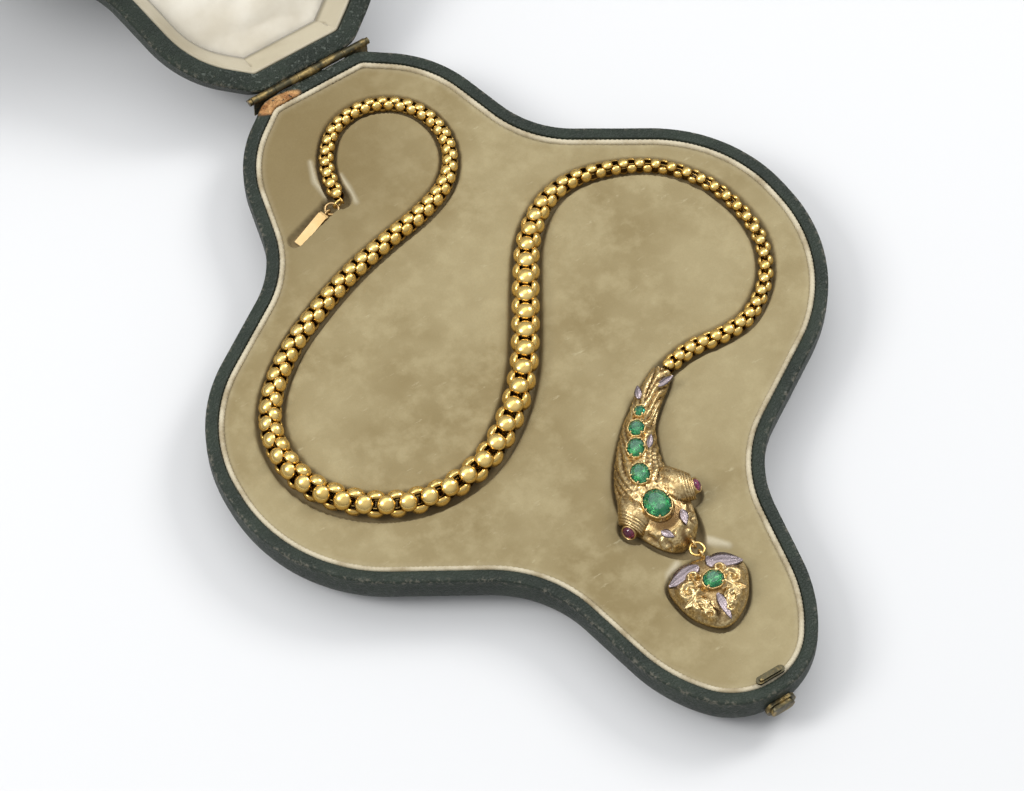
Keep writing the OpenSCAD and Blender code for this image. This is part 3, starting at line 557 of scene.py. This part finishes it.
def leather_tray(name, height, rim, body, material, place, node, notched=False):
    steps = tray_steps(height, rim, 2.4)
    rings = rings_at(steps, 0.9)
    count = len(rings[0])
    points = rings.reshape(-1, 3)
    rough = ripple(points, 6.0, 3.1)
    points[:, 2] += 0.05 * rough * smooth(1, 3, points[:, 2])
    if notched:
        inset = np.repeat([step[0] for step in steps], count)
        beside = (np.abs(points[:, 0] - CATCH_X) < CATCH_ROOM) & (points[:, 1] < 0)
        points[beside & (inset > NOTCH_INSET) & (points[:, 2] > NOTCH_Z), 2] = NOTCH_Z
    faces = grid_faces(len(rings), count, wrap_columns=True)
    faces += closing(0, count, False) + closing((len(rings) - 1) * count, count, True)
    piece = mesh_piece(name, place(points), faces, body, material)
    wear = np.zeros(len(points))
    for i, (inset, z) in enumerate(steps):
        edge = math.exp(-((inset - 0.2) / 0.5) ** 2) * smooth(height - 2.2, height - 0.4, z)
        foot = smooth(5.5, 2.5, z) * smooth(0.02, 0.6, z)
        wear[i * count : (i + 1) * count] = np.clip(edge + 0.8 * foot, 0, 1)
    set_attribute(piece, "wear", wear)
    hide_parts(node)
    return piece


def closing(first, count, top):
    """Strips across a ring that is mirrored left to right."""
    faces = []
    for k in range(count // 2 - 1):
        a, d = first + k, first + (-k) % count
        b, c = first + k + 1, first + (-k - 1) % count
        quad = (a, b, c, d) if d != a else (a, b, c)
        faces.append(quad if top else quad[::-1])
    return faces


def set_attribute(piece, name, values):
    data = piece.data.attributes.new(name, "FLOAT", "POINT").data
    data.foreach_set("value", np.asarray(values, np.float32))


def ribbed_cord(name, material):
    """Cord piping along the rim with slanting ribs."""
    points, normals = even_outline(0.26)
    sides, radius = 10, 0.6
    rows = []
    for i, (p, n) in enumerate(zip(points, normals)):
        ring = []
        for k in range(sides):
            a = 2 * math.pi * k / sides
            rib = 1 + 0.09 * math.cos(2 * math.pi * i / 4 + a)
            d = PIPING_IN + radius * rib * math.cos(a)
            ring.append((*(p - d * n), BASE_H - 0.78 + radius * rib * math.sin(a)))
        rows.append(ring)
    rows = np.array(rows)
    faces = [f[::-1] for f in grid_faces(len(rows), sides, wrap_columns=True, wrap_rows=True)]
    piece = mesh_piece(name, rows.reshape(-1, 3), faces, "case", material)
    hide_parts("base_piping")
    return piece


def rim_distance(x, y, rim_points):
    """Distance of grid points to the nearest of every third rim point."""
    best = np.full(x.shape, 1e9)
    for p in rim_points[::3]:
        best = np.minimum(best, (x - p[0]) ** 2 + (y - p[1]) ** 2)
    return np.sqrt(best)


def inner_grid(inset, spacing, rows, columns):
    """Grid of x and y that fills the outline at an inset, and each point's distance to the edge."""
    points, normals = even_outline(spacing)
    edge = points - inset * normals
    right = edge[edge[:, 0] > 0]
    right = right[np.argsort(right[:, 1])]
    ys = np.linspace(edge[:, 1].min() + 0.02, edge[:, 1].max() - 0.02, rows)
    half = np.interp(ys, right[:, 1], right[:, 0])
    x = half[:, None] * np.linspace(-1, 1, columns)[None, :]
    y = np.repeat(ys[:, None], columns, 1)
    return x, y, rim_distance(x, y, edge)


def flat_points(x, y):
    return np.column_stack([x.ravel(), y.ravel(), np.zeros(x.size)])


def closed_pad(x, y, z):
    """Points and faces of a grid with a skirt down to its foot, and how many points the skirt has."""
    rows, cols = x.shape
    grid = np.column_stack([x.ravel(), y.ravel(), z.ravel()])
    border = [i for i in range(cols)] + [r * cols + cols - 1 for r in range(1, rows)]
    border += [(rows - 1) * cols + c for c in range(cols - 2, -1, -1)] + [r * cols for r in range(rows - 2, 0, -1)]
    skirt = grid[border].copy()
    skirt[:, 2] = PAD_FOOT
    base, count = len(grid), len(border)
    faces = grid_faces(rows, cols)
    for i in range(count):
        j = (i + 1) % count
        faces.append((border[j], border[i], base + i, base + j))
    faces.append(tuple(base + i for i in range(count))[::-1])
    return np.vstack([grid, skirt]), faces, count


def distance_to_path(x, y, path):
    """Distance to a polyline less its half width there, for grids of x and y."""
    best = np.full(x.shape, 1e9)
    for a, b in zip(path, path[1:]):
        dx, dy = b[0] - a[0], b[1] - a[1]
        t = np.clip(((x - a[0]) * dx + (y - a[1]) * dy) / (dx * dx + dy * dy + 1e-9), 0, 1)
        gap = np.hypot(x - a[0] - t * dx, y - a[1] - t * dy) - (a[2] + t * (b[2] - a[2]))
        best = np.minimum(best, gap)
    return best


def necklace_gap(x, y):
    """How far a place on the pad is from the necklace lying on it; negative under it."""
    route = spline(ROUTE, 4)
    route[:, 2] /= 2
    best = distance_to_path(x, y, route)
    head = spline(HEAD_ROWS, 3)[:, :3]
    best = np.minimum(best, distance_to_path(x, y, head))
    for cx, cy, r in ((*JUMP_RING_MID, 1.6), (-3.6, -42.0, 3.3), (10.6, -41.4, 2.6), (-15.1, 63.4, 1.4)):
        best = np.minimum(best, np.hypot(x - cx, y - cy) - r)
    dx, dy = x - HEART_MID[0], y - HEART_MID[1]
    around = np.degrees(np.arctan2(dx, -dy) - HEART_TURN)
    best = np.minimum(best, np.hypot(dx, dy) - heart_edge((around + 180) % 360 - 180))
    return np.minimum(best, distance_to_path(x, y, [(-16, 63, 1.2), (-26, 60, 1.2)]))


PALE_RIDGES = [
    [(-1.0, -54.2, 0.5), (-3.4, -55.6, 0.9), (-6.0, -58.8, 0.4)],
    [(6.4, -51.0, 0.3), (8.4, -53.6, 0.8), (10.8, -56.2, 0.4)],
    [(-14.3, 65.5, 0.1), (-14.3, 70.5, 0.35), (-12.4, 75.5, 0.1)],
    [(-9.4, 61.0, 0.1), (-8.9, 65.0, 0.3), (-8.6, 69.0, 0.1)],
]


def velvet_cushion(material):
    """Velvet pad, pressed in under the necklace and ruffled in a few pale ridges beside it."""
    x, y, rim = inner_grid(PIPING_IN + 0.2, 0.6, 390, 236)
    gap = necklace_gap(x, y)
    z = np.full(x.shape, PAD_TOP + 0.25)
    z += 0.32 * smooth(0, 9, rim) - 0.2 * smooth(0.9, 0, rim)
    pressed = smooth(0.75, 0.02, gap)
    z -= (z - (PAD_TOP - RECESS_DEPTH - 0.02)) * pressed
    ridge = np.zeros(x.shape)
    for path in PALE_RIDGES:
        ridge = np.maximum(ridge, smooth(1.0, -0.5, distance_to_path(x, y, path)))
    ridge *= smooth(0.1, 1.0, gap)
    z += 0.45 * ridge
    flat = flat_points(x, y)
    swell = ripple(flat, 14, 5.0).reshape(x.shape) * 0.14 + ripple(flat, 4.5, 9.0).reshape(x.shape) * 0.05
    z += swell * (1 - pressed)
    points, faces, skirt = closed_pad(x, y, z)
    piece = mesh_piece("velvet_cushion", points, faces, "case", material)
    pale = np.clip(ridge + 0.25 * smooth(2.0, 0.2, rim), 0, 1)
    set_attribute(piece, "pale", np.append(pale.ravel(), np.zeros(skirt)))
    # Painted shade mask: 1 under the necklace, fading out within a millimetre of its edge.
    set_attribute(piece, "painted_shade", np.append(smooth(0.9, -0.3, gap).ravel(), np.zeros(skirt)))
    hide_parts("velvet_pad")


def satin_cushion(material):
    """Puffed satin in the lid with soft slanting folds."""
    x, y, rim = inner_grid(LID_WALL, 1.0, 330, 180)
    z = 4.15 + 1.35 * smooth(2.0, 13, rim)
    flat = flat_points(x, y)
    slant = flat * [0.55, 1.0, 1.0] + np.column_stack([0.45 * flat[:, 1], np.zeros(len(flat)), np.zeros(len(flat))])
    soft = ripple(flat, 17, 2.0).reshape(x.shape) * 0.45 + np.abs(ripple(slant, 9, 7.0).reshape(x.shape)) * 0.7
    soft += ripple(flat, 3.6, 4.0).reshape(x.shape) * 0.05
    z += np.clip(soft, -0.6, 0.95) * smooth(1.0, 7, rim)
    points, faces, skirt = closed_pad(x, y, z)
    piece = mesh_piece("satin_cushion", as_lid(points), [f[::-1] for f in faces], "lid", material)
    # Painted shade in the crease where the satin meets the leaning wall cloth.
    set_attribute(piece, "painted_shade", np.append(smooth(6.5, 4.6, rim).ravel() * 0.5, np.zeros(skirt)))
    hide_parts("lid_satin")


def lid_wall(material):
    """Cloth strip round the lid's inner wall, leaning in to the satin."""
    profile = [
        (LID_WALL, 4.3), (LID_WALL, 11.2), (LID_WALL + 0.25, 11.42), (LID_WALL + 0.6, 11.4), (LID_WALL + 0.85, 11.2),
    ]
    lean = [
        (LID_WALL + 0.85 + 4.05 * t, 11.2 - 6.7 * t + 0.35 * math.sin(math.pi * t)) for t in np.linspace(0.1, 1, 9)
    ]
    steps = profile + lean + [(LID_WALL + 4.6, 4.3)]
    rings = rings_at(steps, 1.0)
    count = len(rings[0])
    points = rings.reshape(-1, 3)
    points[:, 2] += 0.12 * ripple(points, 5, 1.0)
    faces = [f[::-1] for f in grid_faces(len(rings), count, wrap_columns=True, wrap_rows=True)]
    piece = mesh_piece("lid_wall_cloth", as_lid(points), faces, "lid", material)
    # Painted shade on the foot of the leaning cloth, in the crease where it tucks into the satin.
    set_attribute(piece, "painted_shade", np.repeat(np.arange(len(steps)) >= len(steps) - 3, count))
    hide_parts("lid_lining")
    return piece


# Necklace pieces

class Cast:
    """Collects rings and loops of gold into one mesh, with a tint for each point: 0 bloomed, 1 silver, -1 rose."""

    def __init__(self):
        self.points, self.faces, self.tints, self.deep = [], [], [], []

    def add(self, points, faces, tint=0.0, deep=0.0):
        first = len(self.points)
        self.points.extend(tuple(p) for p in points)
        self.faces.extend(tuple(first + i for i in face) for face in faces)
        self.tints.extend(np.broadcast_to(tint, len(points)))
        self.deep.extend(np.broadcast_to(deep, len(points)))

    def rings(self, rings, tint=0.0, closed=False, deep=0.0):
        rings = np.asarray(rings)
        count, sides = rings.shape[:2]
        faces = grid_faces(count, sides, wrap_columns=True, wrap_rows=closed)
        if not closed:
            faces += [tuple(range(sides)), tuple((count - 1) * sides + k for k in range(sides))]
        self.add(rings.reshape(-1, 3), faces, tint, deep)

    def piece(self, name, body, material):
        piece = mesh_piece(name, self.points, self.faces, body, material)
        set_attribute(piece, "tint", self.tints)
        set_attribute(piece, "deep", self.deep)
        return piece


def frame_at(origin, x, y, z):
    """A function that takes local points to the row frame."""
    axes = np.array([x, y, z], float)
    return lambda points: np.asarray(points, float) @ axes + origin


def aimed(place, from_point, way):
    """The same for a part that stands on a point and faces a way."""
    z = unit(np.array(way, float))
    x = unit(np.cross([0, 0, 1.0], z)) if abs(z[2]) < 0.999 else np.array([1.0, 0, 0])
    y = np.cross(z, x)
    return lambda points: place(np.asarray(points, float) @ np.array([x, y, z]) + from_point)


def shifted(place, offset):
    """The same frame moved by an offset along its own axes."""
    return lambda points: place(np.asarray(points) + offset)


def laid(place, spot, heading, slope=0):
    """Frame of a leaf laid at a spot, its length along a heading in degrees."""
    h = math.radians(heading)
    turn = frame_at(np.array(spot), (math.cos(h), math.sin(h), slope), (-math.sin(h), math.cos(h), 0), (0, 0, 1))
    return lambda points: place(turn(points))


def oval_ring(half, grow, z, sides=48):
    a = np.arange(sides) * 2 * math.pi / sides
    return np.column_stack([(half[0] + grow) * np.cos(a), (half[1] + grow) * np.sin(a), np.full(sides, z)])


def tube(path, radii, sides=10):
    """Rings along a path of points, each with its own radius."""
    path = np.asarray(path, float)
    rings = []
    for i, p in enumerate(path):
        way = unit(path[min(i + 1, len(path) - 1)] - path[max(i - 1, 0)])
        u = unit(np.cross(way, [0.31, 0.2, 0.93]))
        v = np.cross(way, u)
        a = np.arange(sides) * 2 * math.pi / sides
        rings.append(p + radii[i] * (np.cos(a)[:, None] * u + np.sin(a)[:, None] * v))
    return rings


def hoop(cast, place, r, wire, tint=0.0):
    a = np.arange(48) * 2 * math.pi / 48
    b = np.arange(14) * 2 * math.pi / 14
    rings = []
    for s in a:
        out = r + wire * np.cos(b)
        rings.append(place(np.column_stack([out * math.cos(s), out * math.sin(s), wire * np.sin(b)])))
    cast.rings(rings, tint, closed=True)


def upright(mid, z, heading):
    """Frame of a hoop that stands along a heading given in degrees."""
    h = math.radians(heading)
    along, out = (math.cos(h), math.sin(h), 0), (math.sin(h), -math.cos(h), 0)
    return frame_at(np.array([mid[0], mid[1], z]), along, (0, 0, 1), out)


def collet(cast, place, half, depth, prongs):
    """Scalloped rose gold setting with round claws over the stone's edge."""
    gap, wall = 0.1, 0.34
    profile = [(gap, -0.5), (gap, 0.0), (gap + 0.12, 0.12), (gap + wall - 0.1, 0.1), (gap + wall, -0.05)]
    profile += [(gap + wall * 0.75, -0.5 * depth), (gap + wall + 0.15, -0.8 * depth), (gap + wall + 0.25, -depth)]
    angle = np.arange(48) * 2 * math.pi / 48
    scallop = 0.1 * np.cos(angle * prongs * 2)
    rings = []
    for grow, z in profile:
        ring = oval_ring(half, grow, z)
        ring[:, 2] += scallop * smooth(-0.4, 0.1, z)
        rings.append(place(ring))
    cast.rings(rings, -1.0)
    claw = ((0.5, -0.9), (0.42, -0.1), (0.3, 0.32), (0.02, 0.5), (-0.22, 0.53))
    for k in range(prongs):
        a = (k + 0.5) * 2 * math.pi / prongs
        way = np.array([math.cos(a), math.sin(a)])
        path = [((half[0] + g) * way[0], (half[1] + g) * way[1], z) for g, z in claw]
        cast.rings(tube(place(path), (0.32, 0.3, 0.28, 0.27, 0.1), 8), -0.5)


def leaf(cast, place, length, width, lift=0.3, tint=1.0):
    """Pointed leaf, silver unless tinted otherwise, with a raised middle rib and turned-up sides."""
    rings = []
    for t in np.linspace(0.02, 0.99, 16):
        half = width / 2 * math.sin(math.pi * t**0.75) ** 0.8 + 0.05
        x, z = length * t, lift * math.sin(math.pi * t)
        rib = 0.06 * math.cos(t * 40)
        rings.append(place([
            (x, half, z + 0.1), (x, half * 0.55, z + 0.3 + rib), (x, half * 0.18, z + 0.22), (x, 0, z + 0.42),
            (x, -half * 0.18, z + 0.22), (x, -half * 0.55, z + 0.3 - rib), (x, -half, z + 0.1), (x, 0, z - 0.7)]))
    cast.rings(rings, tint)


def head_frame(u):
    row = between(HEAD_ROWS, u)
    step = between(HEAD_ROWS, min(u + 0.05, len(HEAD_ROWS) - 1)) - between(HEAD_ROWS, max(u - 0.05, 0))
    ahead = unit(np.array([step[0], step[1], 0]))
    outward = np.array([-ahead[1], ahead[0], 0]) * math.cos(HEAD_ROLL) + np.array([0, 0, math.sin(HEAD_ROLL)])
    z = LIE_Z + 0.05 + math.hypot(row[2] * math.sin(HEAD_ROLL), row[4])
    return row, frame_at(np.array([row[0], row[1], z]), ahead, outward, np.cross(ahead, outward))


def head_body(cast):
    """Neck and head with chased ribs, a raised lip and scrolls on the snout."""
    sides, last = 120, len(HEAD_ROWS) - 1
    a = np.arange(sides) * 2 * math.pi / sides
    places = np.linspace(0, last, 230)
    mids = np.array([between(HEAD_ROWS, u)[:2] for u in places])
    along = np.concatenate([[0], np.cumsum(np.linalg.norm(np.diff(mids, axis=0), axis=1))])
    along -= np.interp(BROW_ROW_AT, places, along)
    rings, tints, deeps = [], [], []
    for u, t in zip(places, along):
        row, place = head_frame(u)
        v = row[2] * np.cos(a)
        w = np.where(np.sin(a) > 0, row[3] * np.sin(a), -row[4] * np.abs(np.sin(a)) ** 0.7)
        upper = smooth(-0.15, 0.25, np.sin(a))
        neck = smooth(8.2, 6.2, u)
        q = (a - math.pi / 2) * row[2]
        plume = (0.42 * t + 1.35 * np.abs(q) + 0.8 * np.sin(0.5 * t + 0.8 * q)) / 2.5 % 1.0
        veins = np.cos(q * 1.2 + t * 4.5) * smooth(0.1, 0.5, plume)
        relief = neck * upper * (0.75 * np.sin(math.pi * plume**0.6) ** 0.7 + 0.09 * veins - 0.45)
        snout = smooth(7.4, 8.6, u)
        forward = np.full(sides, t)
        relief += snout * smooth(0.15, 0.6, np.sin(a)) * (0.6 * scroll_relief(forward, v, SNOUT_SCROLLS) - 0.2)
        for stone, half_l, half_w, _ in CREST_STONES:
            ahead = t - np.interp(stone, places, along)
            relief -= 2.4 * smooth(1.05, 0.85, np.hypot(ahead / half_l, v / half_w)) * (np.sin(a) > 0)
        lip = np.exp(-(((np.sin(a) - 0.22) / 0.14) ** 2)) * snout
        relief += 0.3 * lip
        grow = 1 + relief / np.maximum(row[2], 1)
        rings.append(place(np.column_stack([np.zeros(sides), v * grow, w * grow])))
        # Grooves between the chased ribs marked deep: patina and painted shade.
        deeps.append(smooth(0.0, -0.26, relief) * upper)
        tints.append(np.zeros(sides))
    cast.rings(rings, np.concatenate(tints), deep=np.concatenate(deeps))


def brow(cast, side):
    """Swollen brow: leafy near the crest, a smooth band, then three raised rings before the eye."""
    _, place = head_frame(BROW_ROW_AT)
    sides = 56
    a = np.arange(sides) * 2 * math.pi / sides
    rings, deeps = [], []
    for u in np.linspace(0, len(BROW_ROWS) - 1, 60):
        row = between(BROW_ROWS, u)
        rib = 0.16 * abs(math.sin(math.pi * (u - 2.6) / 0.6)) * smooth(2.5, 2.8, u) - 0.12 * smooth(2.4, 2.7, u)
        leafy = smooth(1.9, 1.0, u) * 0.22 * (np.abs(np.sin(a * 5 + u * 1.6)) - 0.5)
        length, height = row[3] + rib + leafy, row[4] + rib + leafy
        ahead = row[1] + length * np.cos(a)
        across = side * (row[0] - BROW_SLANT * row[3] * np.cos(a)) + BROW_SHIFT
        rings.append(place(np.column_stack([ahead, across, row[2] + height * np.sin(a)])))
        # Grooves between the brow's rings and leafy valleys marked deep: patina and painted shade.
        deeps.append(np.full(sides, float(smooth(0.06, -0.08, rib))) * 0.5 + (leafy < -0.06) * 0.6)
    cast.rings(rings, 0.0, deep=np.concatenate(deeps))
    tip = BROW_ROWS[-1]
    middle = (tip[1], side * (tip[0] - 0.2) + BROW_SHIFT, tip[2])
    eye = aimed(place, middle, (EYE_WAY[0], side * EYE_WAY[1], EYE_WAY[2]))
    profile = ((0.55, -0.4), (0.42, 0.5), (0.4, 1.15), (0.27, 1.32), (0.12, 1.28), (0.09, 0.7))
    cast.rings([eye(oval_ring((EYE_R, EYE_R), grow, z)) for grow, z in profile], -0.6)


def snake_head(material):
    cast = Cast()
    head_body(cast)
    for side in (-1, 1):
        brow(cast, side)
    for u, half_l, half_w, prongs in CREST_STONES:
        row, place = head_frame(u)
        collet(cast, shifted(place, (0, 0, row[3] + CREST_LIFT)), (half_l, half_w), 1.6, prongs)
    for forward, side, length, width, heading in HEAD_LEAVES:
        behind = np.interp(forward, (-33, 0), (0, BROW_ROW_AT))
        row, place = head_frame(BROW_ROW_AT + forward / 4.5 if forward > 0 else behind)
        z = row[3] * math.sqrt(max(0.1, 1 - (side / row[2]) ** 2))
        leaf(cast, laid(place, (0, side, z - 0.1), heading), length, width, 0.15)
    hoop(cast, upright((JUMP_RING_MID[0], JUMP_RING_MID[1] + JUMP_RING_R), RING_Z - 0.1, 90), LOOP_R, RING_WIRE, -0.6)
    piece = cast.piece("chased_head", "case", material)
    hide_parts("snake_head")


def heart_edge(a):
    """Edge radius at an angle in degrees from the point of the heart."""
    def bump(at, spread):
        return np.exp(-(((np.abs(a) - at) / spread) ** 2))
    return HEART_W / 2 * (0.89 + 0.13 * bump(0, 26) + 0.24 * bump(122, 28) + 0.11 * bump(175, 30))


def heart(material):
    """Puffed heart with scrolls and gold leaves on both sides, silver leaves and a stone's setting."""
    cz, sz = math.cos(HEART_TURN), math.sin(HEART_TURN)
    cr, sr = math.cos(HEART_ROLL), math.sin(HEART_ROLL)
    axes = ((cr * cz, cr * sz, -sr), (-sz, cz, 0), (sr * cz, sr * sz, cr))
    place = frame_at(np.array([*HEART_MID, LIE_Z + HEART_T / 2 + 0.3]), *axes)
    sides, count = 200, 70
    angle = np.arange(sides) * 360 / sides
    edge = heart_edge((angle + 180) % 360 - 180)
    way = np.column_stack([np.sin(np.radians(angle)), -np.cos(np.radians(angle))])
    rings, deeps = [], []
    for f in np.concatenate([np.linspace(0.06, 1, 14)[:-1] * -1, np.linspace(1, 0.01, count)]):
        p = way * edge[:, None] * abs(f)
        body = HEART_T / 2 * math.sqrt(max(0.0, 1 - abs(f) ** 3.2))
        if f < 0:
            z, deep = np.full(sides, -body), np.zeros(sides)
        else:
            scrolls = scroll_relief(-np.abs(p[:, 0]), p[:, 1], HEART_SCROLLS)
            vein = 0.22 * np.abs(np.sin(p[:, 0] * 2.1 + p[:, 1] * 1.3)) * scrolls
            z = body + (1.15 * scrolls**0.7 + vein) * min(1, (1 - f) * 6)
            # Ground between the scrolls marked deep: patina and painted shade.
            deep = smooth(0.35, 0.05, scrolls) * smooth(1.0, 0.8, f)
        rings.append(place(np.column_stack([p, z])))
        deeps.append(deep)
    cast = Cast()
    cast.rings(rings, 0.0, deep=np.concatenate(deeps) * 0.55)
    collet(cast, shifted(place, (*HEART_STONE, HEART_T / 2 + 0.9)), HEART_STONE_HALF, 1.6, 4)
    mirrored = [(-x, y, length, width, 180 - heading) for x, y, length, width, heading in HEART_SIDE_LEAVES]
    rows = [(*row, 1.0, 0.3) for row in HEART_LEAVES] + [(*row, 0.0, 0.45) for row in HEART_SIDE_LEAVES + mirrored]
    for x, y, length, width, heading, tint, rise in rows:
        spot = (x, y, HEART_T / 2 + rise - 0.1 * max(0, y))
        leaf(cast, laid(place, spot, heading, -0.06 if tint else -0.16), length, width, 0.35, tint)
    hoop(cast, upright((JUMP_RING_MID[0], JUMP_RING_MID[1] - JUMP_RING_R), RING_Z, 90), LOOP_R, RING_WIRE, -0.6)
    piece = cast.piece("chased_heart", "case", material)
    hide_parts("heart_pendant")


def chain(material):
    """Every link: a slotted plate with a full round dome on both of its long sides."""
    rows = spline(ROUTE, 10)
    along = np.concatenate([[0], np.cumsum(np.linalg.norm(np.diff(rows[:, :2], axis=0), axis=1))])
    total = along[-1]
    def place_at(s):
        return np.array([np.interp(s, along, rows[:, k]) for k in range(5)])
    def heading(s):
        step = place_at(min(s + 0.6, total)) - place_at(max(s - 0.6, 0))
        return math.atan2(step[1], step[0])
    spots = [0.0]
    while spots[-1] + place_at(spots[-1])[3] / 2 <= total:
        spots.append(spots[-1] + place_at(spots[-1])[3] / 2)
    stretch = total / spots[-1]
    cast = Cast()
    for i, spot in enumerate(spots):
        s = spot * stretch
        x, y, width, pitch, turn = place_at(s)
        h, t = heading(s), math.radians(-turn + (90 if i % 2 == 0 and i > 0 else 0))
        ahead = np.array([math.cos(h), math.sin(h), 0])
        side = np.array([-math.sin(h), math.cos(h), 0]) * math.cos(t) + np.array([0, 0, math.sin(t)])
        place = frame_at(np.array([x, y, LIE_Z + width / 2]), ahead, side, np.cross(ahead, side))
        link_plate(cast, place, width, pitch)
        if i > 0:
            swing = heading(min(s + 1.5, total)) - heading(max(s - 1.5, 0))
            bent = 0.2 * width * abs((swing + math.pi) % (2 * math.pi) - math.pi) / 3
            r = min(0.345 * width, (pitch * (1 - bent) - 0.1) / 2)
            for flip in (1, -1):
                link_dome(cast, place, r, width / 2, flip)
    piece = cast.piece("domed_chain", "case", material)
    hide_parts("chain")


def link_dome(cast, place, r, top, flip):
    """Rounded cap with a small turned-in skirt."""
    rise, sides = 0.72 * r, 22
    a = np.arange(sides) * 2 * math.pi / sides
    rings, deep = [], []
    steps = [(0.9, -0.12), *((math.cos(t), math.sin(t)) for t in np.radians([0, 14, 30, 47, 64, 80, 89]))]
    for share, up in steps:
        z = top - rise + rise * up
        rings.append(place(np.column_stack([r * share * np.cos(a), r * share * np.sin(a), np.full(sides, z * flip)])))
        # Lower part of the dome marked deep: patina and painted shade where it meets the plate.
        deep.extend([float(smooth(0.3, -0.1, up))] * sides)
    cast.rings(rings, 0.0, deep=np.array(deep))


def link_plate(cast, place, width, pitch):
    thick, wire = 0.055 * width, 0.1 * width
    slot = 0.109 * width
    reach = pitch / 4 + 0.027 * width + 0.1
    a = np.arange(20) * 2 * math.pi / 20
    rings = []
    for grow, y in ((0, -thick), (wire, -thick), (wire, thick), (0, thick)):
        r = slot + grow
        rings.append(place(np.column_stack([
            r * np.cos(a) + np.sign(np.cos(a)) * (reach - slot), np.full(20, y), r * np.sin(a)])))
    # Whole plate marked deep: patina and painted shade between the domes.
    cast.rings(rings, 0.0, closed=True, deep=0.75)


def main():
    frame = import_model()
    nodes = frame["nodes"]
    add_camera()
    add_studio()

    leather, brass = leather_material(), brass_material()
    satin = satin_material("cream_satin", (0.66, 0.62, 0.53), (0.52, 0.47, 0.37))
    lining = satin_material("beige_lining", (0.44, 0.39, 0.28), (0.33, 0.28, 0.18))
    polished = gold_material("polished_gold", (0.84, 0.6, 0.215), 0.2)
    rose = gold_material("rose_gold", (0.55, 0.39, 0.2), 0.34)
    bloomed = bloomed_material()
    emerald = stone_material("emerald", (0.01, 0.26, 0.15), (0.1, 0.5, 0.34))
    ruby = stone_material("ruby", (0.26, 0.03, 0.1), (0.4, 0.1, 0.22))

    leather_tray("leather_base", BASE_H, RIM_W, "case", leather, np.asarray, "case_base")
    lid = leather_tray("leather_lid", LID_H, LID_RIM_W, "lid", leather, as_lid, "lid_shell", notched=True)
    lid.data.flip_normals()
    ribbed_cord("cord_piping", cord_material())
    velvet_cushion(velvet_material())
    satin_cushion(satin)
    lid_wall(lining)
    chain(polished)
    snake_head(bloomed)
    heart(bloomed)

    looks = {
        polished: ("jump_ring", "tail_link"),
        rose: ("tail_ring", "clasp_tongue"),
        emerald: ("heart_emerald", *(f"emerald_{i}" for i in range(1, 6))),
        ruby: ("ruby_left", "ruby_right"),
        brass: ("base_hinge", "lid_hinge", "hinge_pin", "latch_catch", "push_button", "lid_keeper"),
    }
    for material, names in looks.items():
        for name in names:
            mesh = nodes[name].data
            mesh.materials.clear()
            mesh.materials.append(material)
            if material is not emerald:
                mesh.shade_smooth()
                mesh.set_sharp_from_angle(angle=math.radians(35))


main()
